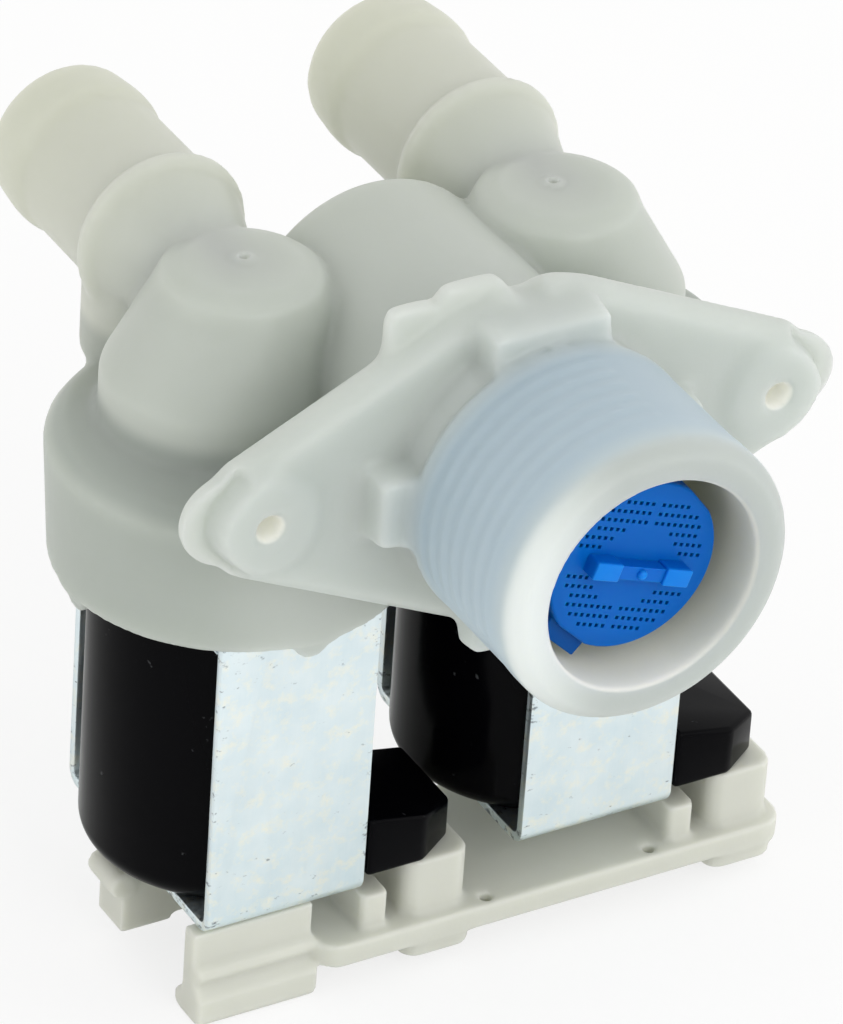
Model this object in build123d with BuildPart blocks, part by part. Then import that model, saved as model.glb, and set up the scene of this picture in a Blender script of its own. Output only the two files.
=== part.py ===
from build123d import *
import os
from math import copysign, cos, hypot, radians, sin, tan

# Twin solenoid water inlet valve of a washing machine, in millimetres.
# Origin: the inlet axis, in the front face of the mounting flange.
# -Y points out of the hose inlet, +X to the right-hand valve, +Z to the outlet domes.

os.makedirs("parts", exist_ok=True)

# Overall layout
valve_pitch = 31.0        # between the two valve axes
valve_setback = 21.0      # valve axes behind the flange face
inlet_reach = 20.8        # inlet end in front of the flange face
outlet_height = 5.4       # hose spigots above the inlet axis
outlet_reach = 33.3       # spigot ends behind the valve axes

# Hose inlet
thread_d = 26.4           # outside of the G 3/4 hose thread
thread_length = 17.0
thread_lead = 1.2         # bevel at the inlet end
neck_d = 24.8             # smooth neck between thread and flange
inlet_bore_d = 19.5
filter_depth = 17.6       # from the inlet end to the filter's shoulder
throat_step = 1.25        # ledge at the throat that the filter rests on

# Manifold
manifold_d = 23.4
manifold_tail = 9.8       # manifold end behind the valve axes
manifold_bevel = 3.6
manifold_wall = 2.4

# Flange
flange_d = 32.4
flange_t = 4.0
flange_bevel = 1.2
screw_pitch = 48.6        # between the two screw holes
screw_d = 2.4
lug_r = 4.9
lug_offset = 2.0          # lug end centre beyond its screw hole
boss_d = 9.4
boss_h = 0.8
key_width = 11.6          # locating keys above and below the neck
key_inner = 10.0
upper_key_reach = 15.0
lower_key_reach = 16.8
key_depth = 3.2
side_key_height = 7.0     # locating keys beside the neck
side_key_reach = 15.6
side_key_depth = 3.4
key_round = 0.8
notch_width = 3.0         # gap at the top of the flange
notch_depth = 1.2
ear_t = 1.8               # two small ears on the back of the left arm
ear_round = 0.9
outer_ear_x = -10.3
outer_ear_width = 4.6
outer_ear_top = 15.9
inner_ear_x = -4.8
inner_ear_width = 5.8
inner_ear_top = 17.0
mould_draft = 4.0         # of bosses and keys, in degrees

# Diaphragm chambers
chamber_d = 31.2          # at the lower edge
chamber_top = -5.0
chamber_bottom = -17.8
chamber_draft = 3.2       # in degrees
chamber_bevel = 1.3
roof_rise = 2.0           # of the sloping roof, from the rim to the dome
roof_inner_r = 9.0
roof_t = 2.2
pocket_r = 11.4           # water space above the diaphragm
socket_r = 13.2           # seat of the diaphragm bead and the guide tube
bead_top = -11.6
seat_z = -10.4
seat_outer_r = 6.2
seat_bore_r = 4.4
web_width = 3.2           # web that joins the two chambers
web_depth = 11.0
tab_r = 1.8               # small round tabs on the lower edge
tab_t = 1.2

# Outlet domes and hose spigots
dome_top = 10.5
plinth_top = 0.6          # upright foot of the dome
plinth_r = 9.9
plinth_out = 1.7          # plinth centre outside the valve axis
plinth_shift = 0.9        # plinth centre behind the valve axis
dome_r = 7.7              # at the shoulder
dome_in = 0.3             # dome centre inside the valve axis
dome_shift = 1.0          # dome centre behind the valve axis
dome_round = 2.8
riser_d = 13.2
riser_shift = 14.5        # riser axis behind the valve axis
riser_drop = 1.6          # riser foot below the chamber top
riser_bevel = 1.2
riser_wall = 1.8
elbow_r = 5.0
elbow_start = 6.0
collar_r = 7.9
collar_t = 2.0
collar_bevel = 0.5
spigot_r = 6.9
barb_r = 7.35
barb_length = 6.6
barb_lead = 3.8           # lead-in from the tip to the barb
barb_land = 1.4           # straight crest of the barb, where the hose grips
tip_r = 6.3
tip_bevel = 0.7
passage_r = 4.2
spigot_bore_r = 5.0
washer_step = 13.4        # step that the flow washer seats on, behind the valve axis

# Inlet filter
filter_gap = 0.55         # between the filter's wall and the inlet bore
filter_face = 5.0         # filter face inside the inlet end
filter_t = 1.2
filter_wall = 0.9
filter_lip_t = 1.4
filter_turn = -20.0       # turn of the filter in its bore, in degrees
mesh_pitch = 0.95
mesh_hole = 0.5
mesh_rows = 6
mesh_columns = 8
mesh_first_row = 1.6
mesh_inner_r = 4.3
mesh_margin = 1.5         # plain rim round the holes
grip_length = 9.8
grip_t = 1.2
grip_h = 2.8
grip_pad_length = 2.8
grip_pad_t = 1.8
filter_tab_width = 3.4
filter_tab_t = 1.0
filter_tab_h = 2.0
filter_tab_angle = 66.0   # from the grip, in degrees

# Fits
slide_fit = 0.08          # radial clearance of the plunger and the filter lip
seat_fit = 0.05           # clearance between pieces that are fitted once

# Flow washer
washer_t = 3.0
washer_bore_r = 2.0

# Diaphragm and pilot disc
bead_t = 1.4
bead_inner_r = 11.5
membrane_t = 0.7
rubber_t = 1.3
rubber_r = 7.0
disc_r = 6.6
disc_t = 1.4
stem_r = 2.2
head_r = 3.2
head_t = 0.8
head_bevel = 0.5
nozzle_h = 0.8
nozzle_r = 1.2
nozzle_flare = 0.5
pilot_r = 0.6
bleed_r = 0.4
bleed_shift = 4.6
seat_gap = 0.1            # closed diaphragm below its seat

# Guide tube, plunger and spring
rim_wall = 2.1
lift_room = 2.7           # depth of the control chamber
floor_t = 1.4
tube_r = 5.3
tube_wall = 1.0
plunger_length = 18.0
groove_width = 1.0        # water grooves along the plunger
groove_depth = 0.5
groove_count = 4
seal_r = 1.7
seal_t = 2.0
seal_stand = 0.85         # seal above the plunger's end
spring_bore_r = 2.75
spring_bore_depth = 9.0
spring_gap = 0.15
spring_wire = 0.56        # square wire
spring_turns = 4

# Coil and yoke
coil_r = 12.0
coil_round = 2.4
cover_roof = 0.5
cover_floor = 1.0
cover_side = 1.2
bobbin_wall = 1.0
bobbin_flange_t = 1.2
winding_inset = 0.25
sleeve_wall = 0.8
sleeve_length = 9.0
yoke_width = 15.3
yoke_t = 0.9
yoke_bottom = -47.7
yoke_bend = 1.6
stake_width = 6.0
yoke_gap = 0.1            # under the chamber edge

# Terminal block on the coil's +X side
block_front = 13.1        # in front of the valve axis
block_back = 2.0
block_reach = 17.2        # beside the valve axis
block_bottom = -46.0
block_top = -40.0
block_slope = 11.0        # in degrees
block_bevel_x = 3.8
block_bevel_y = 2.5
block_gap = 0.15          # beside the yoke leg
blade_width = 2.8
blade_t = 0.8
blade_pitch = 4.4
blade_x = 15.0
blade_y = -7.4
blade_top = -43.6
blade_bottom = -50.8

# Terminal carrier
plate_top = -51.8
plate_t = 2.3
plate_front = 6.7
plate_back = 24.4
plate_right = 19.4        # beyond the right valve axis
plate_left = 3.2          # short of the left valve axis, on its right
plate_round = 2.4
post_x = 15.2
post_width = 6.4
post_depth = 10.4
post_front = 13.0         # in front of the valve axis
post_round = 1.6
rib_x = 9.0
rib_width = 2.6
rib_depth = 6.0
rib_h = 3.6
foot_h = 1.6
foot_inset = 0.3          # behind the plate's front edge
foot_width = 7.0
foot_depth = 5.0
peg_hole_d = 1.2
peg_hole_x = 5.8
peg_hole_inset = 1.4
leg_left = 8.4            # beyond the left valve axis
leg_width = 11.6
leg_front = 8.9
leg_t = 2.0
leg_top_gap = 0.3         # under the yoke
leg_bottom = -57.0
hook_h = 4.2
hook_out = 1.4
hook_round = 0.8
hook_back = 1.2           # foot of the leg behind its wall
arm_depth = 4.4
arm_inset = 3.0           # front arm short of the leg's left end
back_leg_left = 9.4       # beyond the left valve axis
back_leg_width = 5.0
back_leg_bottom = -54.8
rail_d = 2.6
rail_length = 4.8
rail_rise = 2.3           # rail axis above the plate

# Large roundings are made as even bevels that turn through these angles, in degrees
round_steps = (0, 45, 90)

# Places worked out from the driving sizes
valve_sides = {"left": -valve_pitch / 2, "right": valve_pitch / 2}
thread_back = thread_length - inlet_reach
manifold_end = valve_setback + manifold_tail
screw_x = screw_pitch / 2
lug_x = screw_x + lug_offset
chamber_top_r = chamber_d / 2 + (chamber_top - chamber_bottom) * tan(radians(chamber_draft))
roof_z = chamber_top - roof_t
dome_foot = chamber_top - roof_t / 2
riser_foot = chamber_top - riser_drop
collar_start = riser_shift - collar_t / 2
barb_start = outlet_reach - barb_length
throat_r = inlet_bore_d / 2 - throat_step
filter_r = inlet_bore_d / 2 - filter_gap
mesh_outer_r = filter_r - mesh_margin
filter_length = filter_depth - filter_face - seat_fit
filter_lip_r = inlet_bore_d / 2 - slide_fit
bead_bottom = bead_top - bead_t
bead_middle = bead_top - bead_t / 2
rubber_top = seat_z - seat_gap
rubber_middle = rubber_top - rubber_t / 2
rubber_bottom = rubber_top - rubber_t
disc_top = rubber_bottom - seat_fit
disc_bottom = disc_top - disc_t
nozzle_tip = disc_bottom - nozzle_h
head_foot = rubber_top + seat_fit
head_top = head_foot + head_t
seal_top = nozzle_tip - seat_fit
seal_bottom = seal_top - seal_t
plunger_top = seal_top - seal_stand
plunger_bottom = plunger_top - plunger_length
chamber_floor = bead_bottom - lift_room
tube_shoulder = chamber_floor - floor_t
tube_flange_r = socket_r - seat_fit
tube_bore_r = tube_r - tube_wall
tube_bottom = yoke_bottom + yoke_t / 2
tube_floor = tube_bottom + tube_wall
plunger_r = tube_bore_r - slide_fit
spring_seat = plunger_bottom + spring_bore_depth
spring_r = spring_bore_r - spring_gap - spring_wire / 2
spring_foot = tube_floor + spring_wire / 2 + seat_fit
spring_h = spring_seat - seat_fit - spring_wire / 2 - spring_foot
yoke_top = chamber_bottom - yoke_gap
yoke_floor = yoke_bottom + yoke_t
yoke_inside = coil_r + seat_fit
yoke_outside = yoke_inside + yoke_t
sleeve_bore_r = tube_r + seat_fit
sleeve_r = sleeve_bore_r + sleeve_wall
bobbin_bore_r = sleeve_r + seat_fit
bobbin_tube_r = bobbin_bore_r + bobbin_wall
coil_top = yoke_top - yoke_t - seat_fit
coil_bottom = yoke_floor + seat_fit
cavity_r = coil_r - cover_side
cavity_top = coil_top - cover_roof
cavity_bottom = coil_bottom + cover_floor
bobbin_flange_r = cavity_r - seat_fit
winding_top = cavity_top - 2 * seat_fit - bobbin_flange_t
winding_bottom = cavity_bottom + 2 * seat_fit + bobbin_flange_t
block_side = yoke_width / 2 + block_gap
post_top = block_bottom - seat_fit


# Planes and axes of one valve
def section(x):
    """Upright plane through a valve axis: local x to the right, local y up."""
    return Plane(origin=(x, valve_setback, 0), x_dir=(1, 0, 0), z_dir=(0, -1, 0))


def level(x, z):
    """Level plane on a valve axis at height z."""
    return Plane(origin=(x, valve_setback, z))


def upright(x):
    """The valve axis itself."""
    return Axis((x, valve_setback, 0), (0, 0, 1))


def outlet_section(x):
    """Upright plane along a hose spigot: local x backwards, local y outwards."""
    return Plane(origin=(x, valve_setback, outlet_height), x_dir=(0, 1, 0), z_dir=(1, 0, 0))


def outlet_axis(x):
    """Axis of a hose spigot."""
    return Axis((x, valve_setback, outlet_height), (0, 1, 0))


def front_plane(y):
    """Plane across the inlet axis at depth y, facing the front."""
    return Plane.XZ.offset(-y)


def riser_section(x):
    """Upright plane through the riser below a hose spigot."""
    return section(x).offset(-riser_shift)


# Flange plate with bevelled edges, a notch at its top and two ears
with BuildPart() as flange_plate:
    with BuildSketch(front_plane(flange_t)):
        Circle(flange_d / 2)
        with Locations((-lug_x, 0), (lug_x, 0)):
            Circle(lug_r)
        make_hull()
    extrude(amount=flange_t)
    chamfer(edges().filter_by(Plane.XZ), flange_bevel)
    with BuildSketch(front_plane(flange_t)):
        with Locations((0, flange_d / 2)):
            RectangleRounded(notch_width, 2 * notch_depth, notch_width / 3)
    extrude(amount=flange_t, mode=Mode.SUBTRACT)
    with BuildSketch(front_plane(flange_t)):
        with Locations((outer_ear_x, outer_ear_top / 2)):
            RectangleRounded(outer_ear_width, outer_ear_top, ear_round)
        with Locations((inner_ear_x, inner_ear_top / 2)):
            RectangleRounded(inner_ear_width, inner_ear_top, ear_round)
    extrude(amount=ear_t)

# Valve body: one moulding with inlet, flange, manifold, chambers, domes and spigots
with BuildPart() as valve_body:
    # Outlet domes on upright plinths, leaning in above them and rounded on top
    for x in valve_sides.values():
        outward = copysign(1, x)
        for foot in (dome_foot, plinth_top):
            with BuildSketch(level(x, foot)):
                with Locations((outward * plinth_out, plinth_shift)):
                    Circle(plinth_r)
        for turn in round_steps:
            with BuildSketch(level(x, dome_top - dome_round * (1 - sin(radians(turn))))):
                with Locations((-outward * dome_in, dome_shift)):
                    Circle(dome_r - dome_round * (1 - cos(radians(turn))))
        loft(ruled=True)

    for x in valve_sides.values():
        # Diaphragm chamber, a drafted cup that runs into its neighbour
        with BuildSketch(section(x)):
            with BuildLine():
                Polyline(
                    (0, chamber_bottom),
                    (chamber_d / 2, chamber_bottom),
                    (chamber_top_r, chamber_top),
                    (roof_inner_r, chamber_top + roof_rise),
                    (0, chamber_top + roof_rise),
                    close=True,
                )
            make_face()
            chamfer(vertices().sort_by(Axis.X)[-1], chamber_bevel)
        revolve(axis=upright(x))

        # Riser behind the dome
        with BuildSketch(riser_section(x)):
            with Locations((0, riser_foot)):
                Rectangle(riser_d / 2, outlet_height - riser_foot, align=Align.MIN)
            chamfer(vertices().group_by(Axis.X)[-1], riser_bevel)
        revolve(axis=Axis((x, valve_setback + riser_shift, 0), (0, 0, 1)))

        # Hose spigot with its stop collar and shallow barb
        with BuildSketch(outlet_section(x)):
            with BuildLine():
                Polyline(
                    (elbow_start, 0),
                    (elbow_start, elbow_r),
                    (collar_start, elbow_r),
                    (collar_start, collar_r),
                    (collar_start + collar_t, collar_r),
                    (collar_start + collar_t, spigot_r),
                    (barb_start, spigot_r),
                    (outlet_reach - barb_lead - barb_land, barb_r),
                    (outlet_reach - barb_lead, barb_r),
                    (outlet_reach - tip_bevel, tip_r + tip_bevel),
                    (outlet_reach, tip_r),
                    (outlet_reach, 0),
                    close=True,
                )
            make_face()
            chamfer(vertices().group_by(Axis.Y)[-1], collar_bevel)
        revolve(axis=outlet_axis(x))

    # Web between the two chambers
    with BuildSketch(level(0, chamber_bottom)):
        Rectangle(web_width, web_depth)
    extrude(amount=chamber_top - chamber_bottom)

    # Inlet spout and manifold in one turn about the inlet axis
    with BuildSketch(Plane.YZ):
        with BuildLine():
            Polyline(
                (-inlet_reach, 0),
                (-inlet_reach, thread_d / 2 - thread_lead),
                (-inlet_reach + thread_lead, thread_d / 2),
                (thread_back, thread_d / 2),
                (thread_back, neck_d / 2),
                (0, neck_d / 2),
                (0, manifold_d / 2),
                (manifold_end, manifold_d / 2),
                (manifold_end, 0),
                close=True,
            )
        make_face()
        chamfer(vertices().group_by(Axis.X)[-1].sort_by(Axis.Y)[-1], manifold_bevel)
    revolve(axis=Axis.Y)

    # Flange with its screw bosses and locating keys
    add(flange_plate.part)
    with BuildSketch(front_plane(0)):
        with Locations((-screw_x, 0), (screw_x, 0)):
            Circle(boss_d / 2)
    extrude(amount=boss_h, taper=mould_draft)
    with BuildSketch(front_plane(0)):
        with Locations((0, (key_inner + upper_key_reach) / 2)):
            RectangleRounded(key_width, upper_key_reach - key_inner, key_round)
        with Locations((0, -(key_inner + lower_key_reach) / 2)):
            RectangleRounded(key_width, lower_key_reach - key_inner, key_round)
    extrude(amount=key_depth, taper=mould_draft)
    side_key_middle = (key_inner + side_key_reach) / 2
    with BuildSketch(front_plane(0)):
        with Locations((-side_key_middle, 0), (side_key_middle, 0)):
            RectangleRounded(side_key_reach - key_inner, side_key_height, key_round)
    extrude(amount=side_key_depth, taper=mould_draft)

    # Inlet bore with the filter's shoulder, throat and manifold space
    with BuildSketch(Plane.YZ):
        with BuildLine():
            Polyline(
                (-inlet_reach, 0),
                (-inlet_reach, inlet_bore_d / 2),
                (filter_depth - inlet_reach, inlet_bore_d / 2),
                (filter_depth - inlet_reach, throat_r),
                (flange_t, throat_r),
                (flange_t, manifold_d / 2 - manifold_wall),
                (manifold_end - manifold_wall, manifold_d / 2 - manifold_wall),
                (manifold_end - manifold_wall, 0),
                close=True,
            )
        make_face()
    revolve(axis=Axis.Y, mode=Mode.SUBTRACT)

    for side, x in valve_sides.items():
        # Water space above the diaphragm and the socket below it
        with BuildSketch(section(x)):
            with BuildLine():
                Polyline(
                    (0, chamber_bottom),
                    (socket_r, chamber_bottom),
                    (socket_r, bead_top),
                    (pocket_r, bead_top),
                    (pocket_r, roof_z),
                    (0, roof_z),
                    close=True,
                )
            make_face()
        revolve(axis=upright(x), mode=Mode.SUBTRACT)

        # Valve seat that hangs from the roof, and its way up into the dome
        with BuildSketch(level(x, seat_z)):
            Circle(seat_outer_r)
        extrude(until=Until.NEXT)
        with BuildSketch(level(x, seat_z)):
            Circle(seat_bore_r)
        extrude(amount=outlet_height - seat_z, mode=Mode.SUBTRACT)

        # Way out through the spigot, with the hollow riser below it
        with BuildSketch(outlet_section(x)):
            with BuildLine():
                Polyline(
                    (0, 0),
                    (0, passage_r),
                    (washer_step, passage_r),
                    (washer_step, spigot_bore_r),
                    (outlet_reach, spigot_bore_r),
                    (outlet_reach, 0),
                    close=True,
                )
            make_face()
        revolve(axis=outlet_axis(x), mode=Mode.SUBTRACT)
        with BuildSketch(riser_section(x)):
            with Locations((0, riser_foot + riser_wall)):
                Rectangle(
                    riser_d / 2 - riser_wall,
                    outlet_height - riser_foot - riser_wall,
                    align=Align.MIN,
                )
        revolve(axis=Axis((x, valve_setback + riser_shift, 0), (0, 0, 1)), mode=Mode.SUBTRACT)

        # Round tabs on the chamber edge, one in front and one on the outer side
        tab_back = (chamber_d / 2 + socket_r - tab_t) / 2
        outward = 1 if x > 0 else -1
        front_tab = Plane(
            origin=(x, valve_setback - tab_back, chamber_bottom), x_dir=(1, 0, 0), z_dir=(0, -1, 0)
        )
        side_tab = Plane(
            origin=(x + outward * tab_back, valve_setback, chamber_bottom),
            x_dir=(0, 1, 0),
            z_dir=(outward, 0, 0),
        )
        with BuildSketch(front_tab, side_tab):
            Circle(tab_r)
        extrude(amount=tab_t)

    # Screw holes through both lugs
    with BuildSketch(front_plane(-boss_h)):
        with Locations((-screw_x, 0), (screw_x, 0)):
            Circle(screw_d / 2)
    extrude(amount=-(boss_h + flange_t), mode=Mode.SUBTRACT)
valve_body.part.label = "valve_body"
export_step(valve_body.part, "parts/valve_body.step")

# Inlet filter: a strainer cup with a grip rib, turned a little in its bore
filter_plane = Plane(
    origin=(0, filter_face - inlet_reach, 0),
    x_dir=(cos(radians(filter_turn)), 0, sin(radians(filter_turn))),
    z_dir=(0, -1, 0),
)
mesh_points = [
    (right * column * mesh_pitch, up * (mesh_first_row + row * mesh_pitch))
    for row in range(mesh_rows)
    for column in range(1, mesh_columns + 1)
    for right in (-1, 1)
    for up in (-1, 1)
    if mesh_inner_r < hypot(column * mesh_pitch, mesh_first_row + row * mesh_pitch) < mesh_outer_r
]
with BuildPart() as inlet_filter:
    with BuildSketch(filter_plane):
        Circle(filter_r)
    extrude(amount=-filter_length)
    with BuildSketch(filter_plane.offset(-filter_length)):
        Circle(filter_lip_r)
    extrude(amount=filter_lip_t)
    with BuildSketch(filter_plane.offset(-filter_length)):
        Circle(filter_r - filter_wall)
    extrude(amount=filter_length - filter_t, mode=Mode.SUBTRACT)
    with BuildSketch(filter_plane):
        with Locations(*mesh_points):
            Rectangle(mesh_hole, mesh_hole)
    extrude(amount=-filter_t, mode=Mode.SUBTRACT)
    with BuildSketch(filter_plane):
        Rectangle(grip_length, grip_t)
        with GridLocations(grip_length - grip_pad_length, 0, 2, 1):
            RectangleRounded(grip_pad_length, grip_pad_t, grip_pad_t / 4)
    extrude(amount=grip_h)
    with BuildSketch(filter_plane):
        with PolarLocations(filter_r - filter_tab_t / 2, 2, start_angle=filter_tab_angle):
            Rectangle(filter_tab_t, filter_tab_width)
    extrude(amount=filter_tab_h)
inlet_filter.part.label = "inlet_filter"
export_step(inlet_filter.part, "parts/inlet_filter.step")

for side, x in valve_sides.items():
    # Flow washer: rubber ring on the step inside the spigot
    with BuildPart() as flow_washer:
        with BuildSketch(front_plane(valve_setback + washer_step + washer_t)):
            with Locations((x, outlet_height)):
                Circle(spigot_bore_r - seat_fit)
                Circle(washer_bore_r, mode=Mode.SUBTRACT)
        extrude(amount=washer_t)
    flow_washer.part.label = f"flow_washer_{side}"
    export_step(flow_washer.part, f"parts/flow_washer_{side}.step")

    # Diaphragm: rubber disc on a sloping membrane, with a clamped bead
    with BuildPart() as diaphragm:
        with BuildSketch(section(x)):
            with Locations((stem_r + seat_fit, rubber_bottom)):
                Rectangle(rubber_r - stem_r - seat_fit, rubber_t, align=Align.MIN)
            with Locations((bead_inner_r, bead_bottom)):
                Rectangle(tube_flange_r - bead_inner_r, bead_t, align=Align.MIN)
            with BuildLine():
                Polyline(
                    (rubber_r, rubber_middle + membrane_t / 2),
                    (bead_inner_r, bead_middle + membrane_t / 2),
                    (bead_inner_r, bead_middle - membrane_t / 2),
                    (rubber_r, rubber_middle - membrane_t / 2),
                    close=True,
                )
            make_face()
        revolve(axis=upright(x))
    diaphragm.part.label = f"diaphragm_{side}"
    export_step(diaphragm.part, f"parts/diaphragm_{side}.step")

    # Pilot disc: plastic disc with a stem through the rubber, a pilot hole and a bleed hole
    with BuildPart() as pilot_disc:
        with BuildSketch(section(x)):
            with BuildLine():
                Polyline(
                    (pilot_r, nozzle_tip),
                    (nozzle_r, nozzle_tip),
                    (nozzle_r + nozzle_flare, disc_bottom),
                    (disc_r, disc_bottom),
                    (disc_r, disc_top),
                    (stem_r, disc_top),
                    (stem_r, head_foot),
                    (head_r, head_foot),
                    (head_r - head_bevel, head_top),
                    (pilot_r, head_top),
                    close=True,
                )
            make_face()
        revolve(axis=upright(x))
        with BuildSketch(level(x, disc_bottom)):
            with Locations((0, bleed_shift)):
                Circle(bleed_r)
        extrude(amount=disc_t, mode=Mode.SUBTRACT)
    pilot_disc.part.label = f"pilot_disc_{side}"
    export_step(pilot_disc.part, f"parts/pilot_disc_{side}.step")

    # Guide tube: closed tube under a dished flange that clamps the bead
    with BuildPart() as guide_tube:
        with BuildSketch(section(x)):
            with BuildLine():
                Polyline(
                    (0, tube_bottom),
                    (tube_r, tube_bottom),
                    (tube_r, tube_shoulder),
                    (tube_flange_r, tube_shoulder),
                    (tube_flange_r, bead_bottom),
                    (tube_flange_r - rim_wall, bead_bottom),
                    (tube_flange_r - rim_wall, chamber_floor),
                    (tube_bore_r, chamber_floor),
                    (tube_bore_r, tube_floor),
                    (0, tube_floor),
                    close=True,
                )
            make_face()
        revolve(axis=upright(x))
    guide_tube.part.label = f"guide_tube_{side}"
    export_step(guide_tube.part, f"parts/guide_tube_{side}.step")

    # Plunger: steel core with water grooves, a seal pocket on top and a spring bore below
    with BuildPart() as plunger:
        with BuildSketch(section(x)):
            with BuildLine():
                Polyline(
                    (0, seal_bottom),
                    (seal_r + seat_fit, seal_bottom),
                    (seal_r + seat_fit, plunger_top),
                    (plunger_r, plunger_top),
                    (plunger_r, plunger_bottom),
                    (spring_bore_r, plunger_bottom),
                    (spring_bore_r, spring_seat),
                    (0, spring_seat),
                    close=True,
                )
            make_face()
        revolve(axis=upright(x))
        with BuildSketch(level(x, plunger_bottom)):
            with PolarLocations(plunger_r, groove_count):
                Rectangle(2 * groove_depth, groove_width)
        extrude(amount=plunger_length, mode=Mode.SUBTRACT)
    plunger.part.label = f"plunger_{side}"
    export_step(plunger.part, f"parts/plunger_{side}.step")

    # Plunger seal: rubber plug that shuts the pilot hole
    with BuildPart() as plunger_seal:
        with BuildSketch(level(x, seal_bottom)):
            Circle(seal_r)
        extrude(amount=seal_t)
    plunger_seal.part.label = f"plunger_seal_{side}"
    export_step(plunger_seal.part, f"parts/plunger_seal_{side}.step")

    # Plunger spring: pushes the plunger up against the pilot hole
    with BuildPart() as plunger_spring:
        with BuildLine() as spring_line:
            Helix(
                pitch=spring_h / spring_turns,
                height=spring_h,
                radius=spring_r,
                center=(x, valve_setback, spring_foot),
            )
        with BuildSketch(Plane(origin=spring_line.line @ 0, z_dir=spring_line.line % 0)):
            Rectangle(spring_wire, spring_wire)
        sweep(is_frenet=True)
    plunger_spring.part.label = f"plunger_spring_{side}"
    export_step(plunger_spring.part, f"parts/plunger_spring_{side}.step")

    # Flux sleeves: steel rings round the guide tube at both ends of the coil
    with BuildPart() as upper_flux_sleeve:
        with BuildSketch(level(x, yoke_top)):
            Circle(sleeve_r)
            Circle(sleeve_bore_r, mode=Mode.SUBTRACT)
        extrude(amount=-sleeve_length)
    upper_flux_sleeve.part.label = f"upper_flux_sleeve_{side}"
    export_step(upper_flux_sleeve.part, f"parts/upper_flux_sleeve_{side}.step")

    with BuildPart() as lower_flux_sleeve:
        with BuildSketch(level(x, yoke_floor)):
            Circle(sleeve_r)
            Circle(sleeve_bore_r, mode=Mode.SUBTRACT)
        extrude(amount=sleeve_length)
    lower_flux_sleeve.part.label = f"lower_flux_sleeve_{side}"
    export_step(lower_flux_sleeve.part, f"parts/lower_flux_sleeve_{side}.step")

    # Coil bobbin: tube with two flanges
    with BuildPart() as coil_bobbin:
        with BuildSketch(section(x)):
            with Locations((bobbin_bore_r, coil_bottom)):
                Rectangle(bobbin_wall, coil_top - coil_bottom, align=Align.MIN)
            flange_width = bobbin_flange_r - bobbin_bore_r
            with Locations(
                (bobbin_bore_r, cavity_bottom + seat_fit),
                (bobbin_bore_r, cavity_top - seat_fit - bobbin_flange_t),
            ):
                Rectangle(flange_width, bobbin_flange_t, align=Align.MIN)
        revolve(axis=upright(x))
    coil_bobbin.part.label = f"coil_bobbin_{side}"
    export_step(coil_bobbin.part, f"parts/coil_bobbin_{side}.step")

    # Coil winding: all turns of copper wire as one ring
    with BuildPart() as coil_winding:
        with BuildSketch(level(x, winding_bottom)):
            Circle(bobbin_flange_r - winding_inset)
            Circle(bobbin_tube_r + seat_fit, mode=Mode.SUBTRACT)
        extrude(amount=winding_top - winding_bottom)
    coil_winding.part.label = f"coil_winding_{side}"
    export_step(coil_winding.part, f"parts/coil_winding_{side}.step")

    # Coil cover: overmoulded shell with the terminal block on its +X side
    with BuildPart() as coil_cover:
        with BuildSketch(level(x, block_bottom)):
            with BuildLine():
                Polyline(
                    (block_side, -block_back),
                    (block_side, -block_front),
                    (block_reach - block_bevel_x, -block_front),
                    (block_reach, block_bevel_y - block_front),
                    (block_reach, -block_back),
                    close=True,
                )
            make_face()
        extrude(amount=block_top - block_bottom)
        slope_origin = (x + block_side, valve_setback, block_top)
        slope = tan(radians(block_slope))
        split(bisect_by=Plane(origin=slope_origin, z_dir=(slope, 0, 1)), keep=Keep.BOTTOM)
        with BuildSketch(section(x)):
            rim = [
                (
                    coil_r - coil_round * (1 - sin(radians(turn))),
                    coil_bottom + coil_round * (1 - cos(radians(turn))),
                )
                for turn in round_steps
            ]
            with BuildLine():
                Polyline((0, coil_bottom), *rim, (coil_r, coil_top), (0, coil_top), close=True)
            make_face()
        revolve(axis=upright(x))
        with BuildSketch(section(x)):
            Rectangle(bobbin_tube_r + seat_fit, 2 * abs(yoke_bottom), align=(Align.MIN, Align.CENTER))
            with Locations((0, cavity_bottom)):
                Rectangle(cavity_r, cavity_top - cavity_bottom, align=Align.MIN)
        revolve(axis=upright(x), mode=Mode.SUBTRACT)
        with BuildSketch(level(x, block_bottom)):
            with Locations((blade_x, blade_y)):
                with GridLocations(0, blade_pitch, 1, 2):
                    Rectangle(blade_t + 2 * seat_fit, blade_width + 2 * seat_fit)
        extrude(amount=blade_top - block_bottom, mode=Mode.SUBTRACT)
    coil_cover.part.label = f"coil_cover_{side}"
    export_step(coil_cover.part, f"parts/coil_cover_{side}.step")

    # Coil terminals: two blades from the block down into the carrier's post
    with BuildPart() as coil_terminals:
        with BuildSketch(level(x, blade_top)):
            with Locations((blade_x, blade_y)):
                with GridLocations(0, blade_pitch, 1, 2):
                    Rectangle(blade_t, blade_width)
        extrude(amount=blade_bottom - blade_top)
    coil_terminals.part.label = f"coil_terminals_{side}"
    export_step(coil_terminals.part, f"parts/coil_terminals_{side}.step")

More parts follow.
